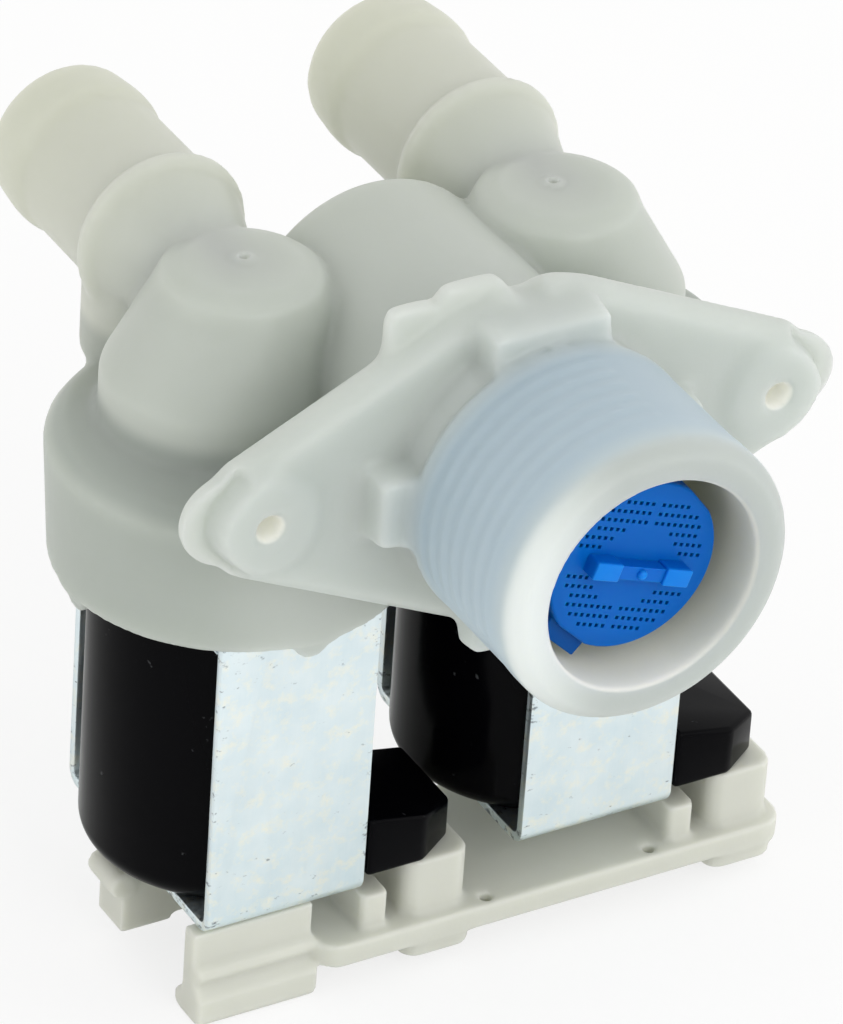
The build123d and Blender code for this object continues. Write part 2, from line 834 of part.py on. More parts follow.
    # Yoke frame: steel strip bent to a U, with notches for the top plate
    with BuildPart() as yoke_frame:
        strip_side = Plane(
            origin=(x - yoke_width / 2, valve_setback, 0), x_dir=(0, 1, 0), z_dir=(1, 0, 0)
        )
        with BuildSketch(strip_side):
            with Locations((0, yoke_bottom)):
                Rectangle(2 * yoke_outside, yoke_top - yoke_bottom, align=(Align.CENTER, Align.MIN))
            fillet(vertices().group_by(Axis.Y)[0], yoke_bend)
            with BuildSketch(mode=Mode.PRIVATE) as inside:
                with Locations((0, yoke_floor)):
                    Rectangle(2 * yoke_inside, yoke_top - yoke_floor, align=(Align.CENTER, Align.MIN))
                fillet(vertices().group_by(Axis.Y)[0], yoke_bend - yoke_t)
            add(inside.sketch, mode=Mode.SUBTRACT)
        extrude(amount=yoke_width)
        with BuildSketch(level(x, yoke_top)):
            Rectangle(stake_width + 2 * seat_fit, 2 * yoke_outside)
        extrude(amount=-(yoke_t + seat_fit), mode=Mode.SUBTRACT)
        with BuildSketch(level(x, yoke_bottom)):
            Circle(tube_r + seat_fit)
        extrude(amount=yoke_t, mode=Mode.SUBTRACT)
    yoke_frame.part.label = f"yoke_frame_{side}"
    export_step(yoke_frame.part, f"parts/yoke_frame_{side}.step")

    # Yoke plate: closes the frame above the coil, with two tabs staked into the legs
    with BuildPart() as yoke_plate:
        with BuildSketch(level(x, yoke_top)):
            Rectangle(yoke_width, 2 * (yoke_inside - seat_fit))
            Rectangle(stake_width, 2 * yoke_outside)
            Circle(sleeve_r + seat_fit, mode=Mode.SUBTRACT)
        extrude(amount=-yoke_t)
    yoke_plate.part.label = f"yoke_plate_{side}"
    export_step(yoke_plate.part, f"parts/yoke_plate_{side}.step")

# Terminal carrier: plate below both coils, with posts, feet, snap leg, back leg and rail
left_x = valve_sides["left"]
right_x = valve_sides["right"]
plate_left_x = left_x + plate_left
plate_right_x = right_x + plate_right
leg_left_x = left_x - leg_left
back_leg_x = left_x - back_leg_left
arm_end = plate_left_x + plate_round
plate_bottom = plate_top - plate_t
with BuildPart() as terminal_carrier:
    with BuildSketch(Plane.XY.offset(plate_bottom)):
        with Locations(((plate_left_x + plate_right_x) / 2, (plate_front + plate_back) / 2)):
            RectangleRounded(plate_right_x - plate_left_x, plate_back - plate_front, plate_round)
        with Locations((leg_left_x + arm_inset, leg_front)):
            Rectangle(arm_end - leg_left_x - arm_inset, arm_depth, align=Align.MIN)
        with Locations((back_leg_x, plate_back - arm_depth)):
            Rectangle(arm_end - back_leg_x, arm_depth, align=Align.MIN)
    extrude(amount=plate_t)
    for x in valve_sides.values():
        with BuildSketch(level(x, plate_top)):
            with Locations((post_x, post_depth / 2 - post_front)):
                RectangleRounded(post_width, post_depth, post_round)
        extrude(amount=post_top - plate_top)
        with BuildSketch(level(x, plate_top)):
            with Locations((rib_x, rib_depth / 2 - post_front)):
                RectangleRounded(rib_width, rib_depth, rib_width / 4)
        extrude(amount=rib_h)
        with BuildSketch(level(x, plate_bottom)):
            with Locations((post_x, plate_front - valve_setback + foot_inset + foot_depth / 2)):
                RectangleRounded(foot_width, foot_depth, post_round)
        extrude(amount=-foot_h, taper=mould_draft)
        with BuildSketch(level(x, post_top)):
            with Locations((blade_x, blade_y)):
                with GridLocations(0, blade_pitch, 1, 2):
                    Rectangle(blade_t + 2 * seat_fit, blade_width + 2 * seat_fit)
        extrude(amount=blade_bottom - seat_fit - post_top, mode=Mode.SUBTRACT)
        with BuildSketch(Plane.XY.offset(plate_top)):
            with Locations((x + peg_hole_x, plate_front + peg_hole_inset)):
                Circle(peg_hole_d / 2)
        extrude(amount=-plate_t, mode=Mode.SUBTRACT)
    # Front snap leg, with a thicker hook along its foot
    with BuildSketch(Plane.YZ.offset(leg_left_x)):
        with BuildLine():
            Polyline(
                (leg_front, yoke_bottom - leg_top_gap),
                (leg_front, leg_bottom + hook_h),
                (leg_front - hook_out, leg_bottom + hook_h - hook_out),
                (leg_front - hook_out, leg_bottom),
                (leg_front + leg_t + hook_back, leg_bottom),
                (leg_front + leg_t + hook_back, leg_bottom + hook_h - hook_out - hook_back),
                (leg_front + leg_t, leg_bottom + hook_h - hook_out),
                (leg_front + leg_t, yoke_bottom - leg_top_gap),
                close=True,
            )
        make_face()
        fillet(vertices().group_by(Axis.Y)[0], hook_round)
    extrude(amount=leg_width)
    # Back leg and the rounded rail above it
    with BuildSketch(Plane.XY.offset(back_leg_bottom)):
        with Locations((back_leg_x, plate_back - arm_depth)):
            Rectangle(back_leg_width, arm_depth, align=Align.MIN)
    extrude(amount=plate_top + rail_rise - back_leg_bottom)
    with BuildSketch(Plane.XZ.offset(-plate_back)):
        with Locations((back_leg_x, plate_top + rail_rise)):
            Circle(rail_d / 2)
    extrude(amount=rail_length)
terminal_carrier.part.label = "terminal_carrier"
export_step(terminal_carrier.part, "parts/terminal_carrier.step")
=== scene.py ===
"""Studio scene of a twin washing machine inlet valve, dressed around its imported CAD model."""

import logging
import math
from dataclasses import dataclass
from enum import Enum
from typing import Any, Mapping, Sequence

import bpy
import numpy as np
from mathutils import Matrix, Vector

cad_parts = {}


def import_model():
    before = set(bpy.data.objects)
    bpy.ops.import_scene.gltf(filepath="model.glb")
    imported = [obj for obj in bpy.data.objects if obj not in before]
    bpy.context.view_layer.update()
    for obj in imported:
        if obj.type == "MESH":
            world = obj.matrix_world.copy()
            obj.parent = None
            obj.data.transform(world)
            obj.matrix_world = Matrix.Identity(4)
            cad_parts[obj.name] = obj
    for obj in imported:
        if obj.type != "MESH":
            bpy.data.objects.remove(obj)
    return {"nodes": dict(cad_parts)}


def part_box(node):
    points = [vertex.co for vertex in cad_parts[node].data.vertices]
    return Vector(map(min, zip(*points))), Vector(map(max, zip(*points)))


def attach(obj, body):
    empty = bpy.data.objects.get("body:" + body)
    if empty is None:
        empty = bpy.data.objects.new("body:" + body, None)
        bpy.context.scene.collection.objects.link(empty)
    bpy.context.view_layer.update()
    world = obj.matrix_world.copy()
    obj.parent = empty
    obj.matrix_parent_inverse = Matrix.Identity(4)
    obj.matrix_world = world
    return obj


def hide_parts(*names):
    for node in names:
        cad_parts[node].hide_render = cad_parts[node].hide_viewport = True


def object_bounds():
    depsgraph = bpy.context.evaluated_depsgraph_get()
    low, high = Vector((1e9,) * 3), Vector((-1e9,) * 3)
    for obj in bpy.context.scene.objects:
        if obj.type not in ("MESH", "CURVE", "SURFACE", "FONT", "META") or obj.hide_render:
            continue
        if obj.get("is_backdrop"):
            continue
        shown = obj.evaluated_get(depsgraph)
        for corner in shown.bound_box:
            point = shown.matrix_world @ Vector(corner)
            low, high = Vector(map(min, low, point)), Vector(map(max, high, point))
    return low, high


LOG = logging.getLogger("inlet_valve")
MM = 0.001
WELD = 0.001 * MM  # points this close are taken as one
LEVEL = 0.01 * MM  # points this close along an axis are taken as level
SMOOTH_ANGLE = math.radians(35)  # edges that turn more than this stay sharp
SIDES = ("left", "right")
Tree = bpy.types.NodeTree
Socket = bpy.types.NodeSocket


def linear(code: str) -> tuple[float, float, float, float]:
    """Turn an sRGB hex value into a linear colour.

    Args:
        code: Six hex digits after a hash sign.

    Returns:
        Linear red, green and blue with an alpha of one.
    """
    shares = [int(code[i : i + 2], 16) / 255 for i in (1, 3, 5)]
    red, green, blue = (s / 12.92 if s <= 0.04045 else ((s + 0.055) / 1.055) ** 2.4 for s in shares)
    return red, green, blue, 1.0


def per_mm(size: float) -> float:
    """Texture scale for a pattern whose features are size millimetres across."""
    return 1 / (size * MM)


def add_node(
    tree: Tree, kind: str, inputs: Mapping[int | str, Any] | None = None, **settings: Any
) -> bpy.types.Node:
    """Add one shader node.

    Args:
        tree: Node tree that gets the node.
        kind: Blender's name for the kind of node.
        inputs: What each input gets, by its name or number: a socket or a fixed value.
        **settings: Properties of the node itself.

    Returns:
        The new node.
    """
    node = tree.nodes.new(kind)
    for key, value in settings.items():
        setattr(node, key, value)
    for key, value in (inputs or {}).items():
        if isinstance(value, Socket):
            tree.links.new(value, node.inputs[key])
        else:
            node.inputs[key].default_value = value
    return node


def start_material(name: str) -> tuple[bpy.types.Material, Tree]:
    """Start a material without nodes.

    Args:
        name: What the material really is.

    Returns:
        The material and its node tree.
    """
    material = bpy.data.materials.new(name)
    material.use_nodes = True
    material.node_tree.nodes.clear()
    return material, material.node_tree


def activate(piece: bpy.types.Object) -> None:
    """Make one piece the only selected and active object.

    Args:
        piece: Piece that the next operators act on.
    """
    bpy.ops.object.select_all(action="DESELECT")
    piece.select_set(True)
    bpy.context.view_layer.objects.active = piece


def apply_modifier(piece: bpy.types.Object, kind: str, **settings: Any) -> None:
    """Add a modifier to a piece and apply it at once.

    Args:
        piece: Piece that is changed.
        kind: Blender's name for the kind of modifier.
        **settings: Properties of the modifier.
    """
    activate(piece)
    modifier = piece.modifiers.new(kind.title(), kind)
    for key, value in settings.items():
        setattr(modifier, key, value)
    bpy.ops.object.modifier_apply(modifier=modifier.name)


def copy_node(node: str, name: str) -> bpy.types.Object:
    """Copy a CAD node into a new piece with its loose triangles merged.

    Args:
        node: Name of the CAD node.
        name: Name of the new piece.

    Returns:
        The new piece, at the origin like its node.
    """
    piece = bpy.data.objects.new(name, bpy.data.objects[node].data.copy())
    piece.data.materials.clear()
    bpy.context.scene.collection.objects.link(piece)
    activate(piece)
    bpy.ops.mesh.customdata_custom_splitnormals_clear()
    bpy.ops.object.mode_set(mode="EDIT")
    bpy.ops.mesh.select_all(action="SELECT")
    bpy.ops.mesh.remove_doubles(threshold=WELD)
    bpy.ops.object.mode_set(mode="OBJECT")
    return piece


class Pick(Enum):
    """Kinds of mesh element that can be selected for edit mode."""

    EDGE = "edges"
    FACE = "polygons"


def pick(piece: bpy.types.Object, kind: Pick, wanted: np.ndarray) -> None:
    """Select some elements of a piece and no others, and open it in edit mode.

    Args:
        piece: Piece to be edited.
        kind: Whether edges or faces are picked.
        wanted: True for each element to select.
    """
    activate(piece)
    bpy.context.tool_settings.mesh_select_mode = (False, kind is Pick.EDGE, kind is Pick.FACE)
    for elements in (piece.data.vertices, piece.data.edges, piece.data.polygons):
        elements.foreach_set("select", np.zeros(len(elements), bool))
    getattr(piece.data, kind.value).foreach_set("select", wanted)
    bpy.ops.object.mode_set(mode="EDIT")


def corners(piece: bpy.types.Object) -> np.ndarray:
    """Read the places of all vertices of a piece.

    Args:
        piece: Piece to read.

    Returns:
        Places in metres, one row each.
    """
    places = np.empty(len(piece.data.vertices) * 3)
    piece.data.vertices.foreach_get("co", places)
    return places.reshape(-1, 3)


def ease(values: np.ndarray, start: float, end: float) -> np.ndarray:
    """Go smoothly from nothing at the start to one at the end.

    Args:
        values: Numbers to place between the two.
        start: Where the rise begins.
        end: Where it is complete.

    Returns:
        The share of the rise at each number.
    """
    share = np.clip((values - start) / (end - start), 0, 1)
    return share * share * (3 - 2 * share)


def merge(piece: bpy.types.Object, others: Sequence[bpy.types.Object]) -> None:
    """Join other objects into a piece.

    Args:
        piece: Piece that takes them in.
        others: Objects that are used up.
    """
    activate(piece)
    for other in others:
        other.select_set(True)
    bpy.ops.object.join()


def combine(piece: bpy.types.Object, operation: str, tool: bpy.types.Object) -> None:
    """Add a tool to a piece, or take it away, and remove the tool.

    Both are enlarged to millimetres for it, because the solver loses solids of this size in metres.

    Args:
        piece: Solid that is changed.
        operation: UNION or DIFFERENCE.
        tool: Solid that is used up.
    """
    enlarge = Matrix.Scale(1 / MM, 4)
    for solid in (piece, tool):
        solid.data.transform(enlarge)
    apply_modifier(piece, "BOOLEAN", operation=operation, object=tool, solver="MANIFOLD")
    piece.data.transform(enlarge.inverted())
    bpy.data.objects.remove(tool)


def rod(
    middle_mm: Sequence[float],
    radius_mm: float,
    length_mm: float,
    turn: Sequence[float] = (0, 0, 0),
    sides: int = 32,
) -> bpy.types.Object:
    """Make a round rod.

    Args:
        middle_mm: Its middle.
        radius_mm: Its radius.
        length_mm: Its length.
        turn: Rotation from upright, in radians.
        sides: Number of facets round it.

    Returns:
        The rod, with its place in the mesh.
    """
    bpy.ops.object.select_all(action="DESELECT")
    bpy.ops.mesh.primitive_cylinder_add(
        vertices=sides,
        radius=radius_mm * MM,
        depth=length_mm * MM,
        location=Vector(middle_mm) * MM,
        rotation=turn,
    )
    bpy.ops.object.transform_apply(location=True, rotation=True)
    return bpy.context.object


def bar(
    low_mm: Sequence[float], high_mm: Sequence[float], edge_mm: float = 0.0, edge_steps: int = 3
) -> bpy.types.Object:
    """Make a rectangular bar.

    Args:
        low_mm: Its lowest corner.
        high_mm: Its highest corner.
        edge_mm: Width of the rounding of its edges, if any.
        edge_steps: Number of facets across the rounding.

    Returns:
        The bar, with its place in the mesh.
    """
    low, high = Vector(low_mm) * MM, Vector(high_mm) * MM
    bpy.ops.object.select_all(action="DESELECT")
    bpy.ops.mesh.primitive_cube_add(size=1, location=(low + high) / 2, scale=high - low)
    bpy.ops.object.transform_apply(location=True, scale=True)
    block = bpy.context.object
    if edge_mm:
        apply_modifier(block, "BEVEL", width=edge_mm * MM, segments=edge_steps)
    return block


def round_rim(piece: bpy.types.Object, axis: int, place: float, width_mm: float, steps: int) -> None:
    """Round the edges that lie level at one place along an axis.

    Args:
        piece: Piece that is changed.
        axis: Number of the axis, from 0 for X to 2 for Z.
        place: Where the edges lie along it, in metres.
        width_mm: Width of the rounding.
        steps: Number of facets across it.
    """
    level = np.isclose(corners(piece)[:, axis], place, atol=LEVEL)
    pick(piece, Pick.EDGE, np.array([level[list(edge.vertices)].all() for edge in piece.data.edges]))
    bpy.ops.mesh.bevel(offset=width_mm * MM, segments=steps, affect="EDGES")
    bpy.ops.object.mode_set(mode="OBJECT")


def dress(piece: bpy.types.Object, material: bpy.types.Material) -> None:
    """Give a piece or a CAD node one material all over."""
    piece.data.materials.clear()
    piece.data.materials.append(material)


def stand_in(piece: bpy.types.Object, node: str, body: str = "base") -> None:
    """Let a piece stand for a CAD node.

    Args:
        piece: The finished piece.
        node: CAD node that it stands for.
        body: Body that it rides on.
    """
    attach(piece, body)
    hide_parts(node)
    LOG.info("%s stands for %s with %d faces", piece.name, node, len(piece.data.polygons))


@dataclass(frozen=True)
class Finish:
    """What every finish has: its real name, and one shader fed by patterns in Object coordinates."""

    name: str

    def build(self) -> bpy.types.Material:
        """Make the material.

        Returns:
            The finished material.
        """
        material, tree = start_material(self.name)
        place = add_node(tree, "ShaderNodeTexCoord").outputs["Object"]
        shader = add_node(tree, "ShaderNodeBsdfPrincipled", self.surface(tree, place))
        add_node(tree, "ShaderNodeOutputMaterial", {"Surface": shader.outputs["BSDF"]})
        return material

    def surface(self, tree: Tree, place: Socket) -> Mapping[str, Any]:
        """Leave the shader as it comes; each finish overrides this with its own inputs."""
        return {}


@dataclass(frozen=True)
class MouldedPlastic(Finish):
    """Injection-moulded plastic: a satin skin, faintly cloudy, that lets a little light in."""

    colour: str
    cloud: str
    roughness: float
    depth_mm: float = 0.0
    least_depth_mm: float = 0.1
    glow: float = 0.8
    glow_reach: tuple[float, float, float] = (1.0, 1.0, 0.9)
    cloud_mm: float = 9.0
    cloud_detail: float = 3.0
    gloss_spread: float = 0.07
    grain_mm: float = 0.45  # a real mould's grain is finer; drawn coarse enough to show
    grain_detail: float = 2.0
    grain_depth_mm: float = 0.03
    grain_strength: float = 0.25
    shine: float = 0.4

    def surface(self, tree: Tree, place: Socket) -> Mapping[str, Any]:
        """Make a cloudy colour, an uneven gloss and a fine moulded grain.

        Args:
            tree: Node tree of the material.
            place: Object coordinates.

        Returns:
            The shader's inputs by name.
        """
        clouds, grain = (
            add_node(
                tree, "ShaderNodeTexNoise", {"Vector": place, "Scale": per_mm(size), "Detail": detail}
            ).outputs["Fac"]
            for size, detail in ((self.cloud_mm, self.cloud_detail), (self.grain_mm, self.grain_detail))
        )
        colour = add_node(
            tree,
            "ShaderNodeMix",
            {0: clouds, 6: linear(self.colour), 7: linear(self.cloud)},
            data_type="RGBA",
        )
        least, most = self.roughness - self.gloss_spread, self.roughness + self.gloss_spread
        gloss = add_node(tree, "ShaderNodeMapRange", {"Value": clouds, "To Min": least, "To Max": most})
        relief = add_node(
            tree,
            "ShaderNodeBump",
            {"Height": grain, "Strength": self.grain_strength, "Distance": self.grain_depth_mm * MM},
        )
        return {
            "Base Color": self.tint(tree, place, colour.outputs[2]),
            "Roughness": gloss.outputs["Result"],
            "Normal": relief.outputs["Normal"],
            "Specular IOR Level": self.shine,
            "Subsurface Weight": self.glow if self.depth_mm else 0.0,
            "Subsurface Radius": self.glow_reach,
            "Subsurface Scale": max(self.depth_mm, self.least_depth_mm) * MM,
        }

    def tint(self, tree: Tree, place: Socket, colour: Socket) -> Socket:
        """Leave the colour as it is; finishes with light and shade painted along the piece override this.
        """
        return colour


@dataclass(frozen=True)
class PaintedLightPlastic(MouldedPlastic):
    """Moulded plastic with light and shade painted into its colour along the inlet axis, at points given in
    millimetres.
    """

    light_and_shade_stations: tuple[tuple[float, str], ...] = ()
    light_and_shade_share: float = 0.8

    def tint(self, tree: Tree, place: Socket, colour: Socket) -> Socket:
        """Blend in the painted light and shade given at each station.

        Args:
            tree: Node tree of the material.
            place: Object coordinates.
            colour: Colour before the change.

        Returns:
            The colour with its light and shade painted in.
        """
        axes = add_node(tree, "ShaderNodeSeparateXYZ", {0: place})
        first, last = self.light_and_shade_stations[0][0], self.light_and_shade_stations[-1][0]
        stretch = {"Value": axes.outputs["Y"], "From Min": first * MM, "From Max": last * MM}
        along = add_node(tree, "ShaderNodeMapRange", stretch)
        ramp = add_node(tree, "ShaderNodeValToRGB", {"Fac": along.outputs["Result"]})
        elements = ramp.color_ramp.elements
        while len(elements) < len(self.light_and_shade_stations):
            elements.new(0.5)
        for element, (station, tone) in zip(elements, self.light_and_shade_stations):
            element.position = (station - first) / (last - first)
            element.color = linear(tone)
        # mix the painted light and shade over the plastic's own colour
        tones = {0: self.light_and_shade_share, 6: colour, 7: ramp.outputs["Color"]}
        return add_node(tree, "ShaderNodeMix", tones, data_type="RGBA").outputs[2]


@dataclass(frozen=True)
class NaturalPolyamide(PaintedLightPlastic):
    """Uncoloured polyamide: milky, with light and shade painted into its colour.

    The thread is painted a cool blue, the light of the blue strainer through its wall; the middle of the
    body and the chambers are painted darker, as shade; and the mouth, the insides of the screw holes in the
    lugs and the spigots are painted lighter, as light passing through them.
    """

    # painted light and shade in the bore: lighter to the left and at the bottom, darker to the right
    bore_light_and_shade_tones: tuple[str, str] = ("#E4E4DA", "#CBCCC3")
    bore_light_to_shade_x_mm: tuple[float, float] = (1.0, 9.0)
    # painted light and shade on the mouth's front face: lighter at its left, darker from the middle to the
    # right
    ring_light_and_shade_tones: tuple[str, str] = ("#DCE2DF", "#B0B6B3")
    ring_light_to_shade_x_mm: tuple[float, float] = (-13.0, -3.0)
    bore_r_mm: tuple[float, float] = (10.1, 9.8)
    bore_y_mm: tuple[float, float] = (2.0, -2.0)
    ring_y_mm: tuple[float, float] = (-18.4, -20.2)
    # painted shade on the lower chambers, behind the flange
    chamber_shade_tone: str = "#A6ADA5"
    chamber_shade_share: float = 0.75
    chamber_shade_z_mm: tuple[float, float] = (-3.0, -8.0)
    chamber_shade_y_mm: tuple[float, float] = (4.0, 9.0)
    # painted light inside the screw holes of the lugs
    hole_light_tone: str = "#F1F1E8"
    hole_x_mm: float = 24.3
    hole_r_mm: tuple[float, float] = (1.5, 1.1)
    hole_y_mm: tuple[float, float] = (5.0, 4.4)
    # painted shade on the chamber roofs, round the bases of the domes
    roof_shade_tone: str = "#868E88"
    roof_shade_share: float = 0.5
    roof_low_mm: tuple[float, float] = (-6.2, -4.8)
    roof_high_mm: tuple[float, float] = (-0.6, -2.6)

    def shares(self, tree: Tree, place: Socket) -> dict[str, Socket]:
        """Work out how far each point lies in each region where light and shade are painted.

        Args:
            tree: Node tree of the material.
            place: Object coordinates.

        Returns:
            A share from nothing to one for each region.
        """
        axes = add_node(tree, "ShaderNodeSeparateXYZ", {0: place}).outputs
        across, along, upward = axes["X"], axes["Y"], axes["Z"]
        off_hole = across
        for operation in ("ABSOLUTE", "SUBTRACT"):
            terms = {0: off_hole, 1: self.hole_x_mm * MM}
            off_hole = add_node(tree, "ShaderNodeMath", terms, operation=operation).outputs[0]
        from_axis, from_hole = (
            add_node(
                tree,
                "ShaderNodeVectorMath",
                {0: add_node(tree, "ShaderNodeCombineXYZ", {"X": offset, "Z": upward}).outputs[0]},
                operation="LENGTH",
            ).outputs["Value"]
            for offset in (across, off_hole)
        )
        return {
            region: add_node(
                tree,
                "ShaderNodeMapRange",
                {"Value": length, "From Min": start * MM, "From Max": end * MM},
                interpolation_type="SMOOTHSTEP",
            ).outputs["Result"]
            for region, length, (start, end) in (
                ("ring_shade_side", across, self.ring_light_to_shade_x_mm),
                ("bore_shade_side", across, self.bore_light_to_shade_x_mm),
                ("ring", along, self.ring_y_mm),
                ("inside", from_axis, self.bore_r_mm),
                ("in_front", along, self.bore_y_mm),
                ("hole", from_hole, self.hole_r_mm),
                ("in_flange", along, self.hole_y_mm),
                ("behind", along, self.chamber_shade_y_mm),
                ("low", upward, self.chamber_shade_z_mm),
                ("above_rim", upward, self.roof_low_mm),
                ("below_dome", upward, self.roof_high_mm),
            )
        }

    def tint(self, tree: Tree, place: Socket, colour: Socket) -> Socket:
        """Blend in the painted light and shade along the body, then that of its mouth, bore, chambers and
        screw holes.

        Args:
            tree: Node tree of the material.
            place: Object coordinates.
            colour: Colour before the change.

        Returns:
            The colour with its light and shade painted in.
        """
        colour = super().tint(tree, place, colour)
        shares = self.shares(tree, place)
        # painted light and shade of the mouth's face and of the bore, blended from left to right
        ring, bore = (
            add_node(
                tree,
                "ShaderNodeMix",
                {0: shares[side], 6: linear(tones[0]), 7: linear(tones[1])},
                data_type="RGBA",
            ).outputs[2]
            for side, tones in (("ring_shade_side", self.ring_light_and_shade_tones), ("bore_shade_side", self.bore_light_and_shade_tones))
        )
        # painted shade on the chambers and their roofs, painted light and shade on the mouth and in the
        # bore, painted light in the screw holes
        for regions, share, tone in (
            (("low", "behind"), self.chamber_shade_share, linear(self.chamber_shade_tone)),
            (("above_rim", "below_dome", "behind"), self.roof_shade_share, linear(self.roof_shade_tone)),
            (("ring",), 1.0, ring),
            (("inside", "in_front"), 1.0, bore),
            (("hole", "in_flange"), 1.0, linear(self.hole_light_tone)),
        ):
            for region in regions:
                terms = {0: shares[region], 1: share}
                share = add_node(tree, "ShaderNodeMath", terms, operation="MULTIPLY").outputs[0]
            tones = {0: share, 6: colour, 7: tone}
            colour = add_node(tree, "ShaderNodeMix", tones, data_type="RGBA").outputs[2]
        return colour


@dataclass(frozen=True)
class GlossyPlastic(Finish):
    """Black glass-filled polyamide, overmoulded on the coil: wet gloss with a little dust."""

    colour: str
    dust: str
    roughness: float
    gloss_spread: tuple[float, float] = (-0.05, 0.08)
    dust_mm: float = 1.3
    dust_detail: float = 6.0
    dust_limits: tuple[float, float] = (0.70, 0.78)
    dust_share: float = 0.5
    wave_mm: float = 6.0
    wave_detail: float = 2.0
    wave_depth_mm: float = 0.05
    wave_strength: float = 0.3
    shine: float = 0.045

    def surface(self, tree: Tree, place: Socket) -> Mapping[str, Any]:
        """Make a slightly wavy gloss and sparse pale specks.

        Args:
            tree: Node tree of the material.
            place: Object coordinates.

        Returns:
            The shader's inputs by name.
        """
        waves, specks = (
            add_node(
                tree, "ShaderNodeTexNoise", {"Vector": place, "Scale": per_mm(size), "Detail": detail}
            ).outputs["Fac"]
            for size, detail in ((self.wave_mm, self.wave_detail), (self.dust_mm, self.dust_detail))
        )
        start, end = self.dust_limits
        sparse = {"Value": specks, "From Min": start, "From Max": end, "To Max": self.dust_share}
        dust = add_node(tree, "ShaderNodeMapRange", sparse).outputs["Result"]
        tones = {0: dust, 6: linear(self.colour), 7: linear(self.dust)}
        colour = add_node(tree, "ShaderNodeMix", tones, data_type="RGBA")
        least, most = (self.roughness + spread for spread in self.gloss_spread)
        gloss = add_node(tree, "ShaderNodeMapRange", {"Value": waves, "To Min": least, "To Max": most})
        relief = add_node(
            tree,
            "ShaderNodeBump",
            {"Height": waves, "Strength": self.wave_strength, "Distance": self.wave_depth_mm * MM},
        )
        return {
            "Base Color": colour.outputs[2],
            "Roughness": gloss.outputs["Result"],
            "Normal": relief.outputs["Normal"],
            "Specular IOR Level": self.shine,
        }


@dataclass(frozen=True)
class PlatedMetal(Finish):
    """Metal strip or turned metal: bright, clouded by its plating, with fine scratches one way."""

    colour: str
    cloud: str
    roughness: float
    gloss_spread: float = 0.1
    cloud_mm: float = 4.0
    cloud_detail: float = 4.0
    scratch_mm: tuple[float, float, float] = (0.4, 0.4, 6.0)  # drawn coarse enough to show
    scratch_detail: float = 5.0
    scratch_limits: tuple[float, float] = (0.3, 0.7)
    scratch_depth_mm: float = 0.02
    scratch_strength: float = 0.3

    def surface(self, tree: Tree, place: Socket) -> Mapping[str, Any]:
        """Make cloudy plating and directional scratches.

        Args:
            tree: Node tree of the material.
            place: Object coordinates.

        Returns:
            The shader's inputs by name.
        """
        cloudy = {"Vector": place, "Scale": per_mm(self.cloud_mm), "Detail": self.cloud_detail}
        clouds = add_node(tree, "ShaderNodeTexNoise", cloudy).outputs["Fac"]
        stretch = {"Vector": place, "Scale": [per_mm(size) for size in self.scratch_mm]}
        lengthwise = add_node(tree, "ShaderNodeMapping", stretch).outputs["Vector"]
        scratchy = {"Vector": lengthwise, "Scale": 1.0, "Detail": self.scratch_detail}
        scratches = add_node(tree, "ShaderNodeTexNoise", scratchy).outputs["Fac"]
        tones = {0: clouds, 6: linear(self.colour), 7: linear(self.cloud)}
        plating = add_node(tree, "ShaderNodeMix", tones, data_type="RGBA").outputs[2]
        start, end = self.scratch_limits
        gloss = add_node(
            tree,
            "ShaderNodeMapRange",
            {
                "Value": scratches,
                "From Min": start,
                "From Max": end,
                "To Min": self.roughness - self.gloss_spread,
                "To Max": self.roughness + self.gloss_spread,
            },
        )
        relief = add_node(
            tree,
            "ShaderNodeBump",
            {
                "Height": scratches,
                "Strength": self.scratch_strength,
                "Distance": self.scratch_depth_mm * MM,
            },
        )
        return {
            "Base Color": self.wear(tree, place, plating),
            "Roughness": gloss.outputs["Result"],
            "Normal": relief.outputs["Normal"],
            "Metallic": 1.0,
        }

    def wear(self, tree: Tree, place: Socket, colour: Socket) -> Socket:
        """Leave the plating as it is; pieces that are handled override this."""
        return colour


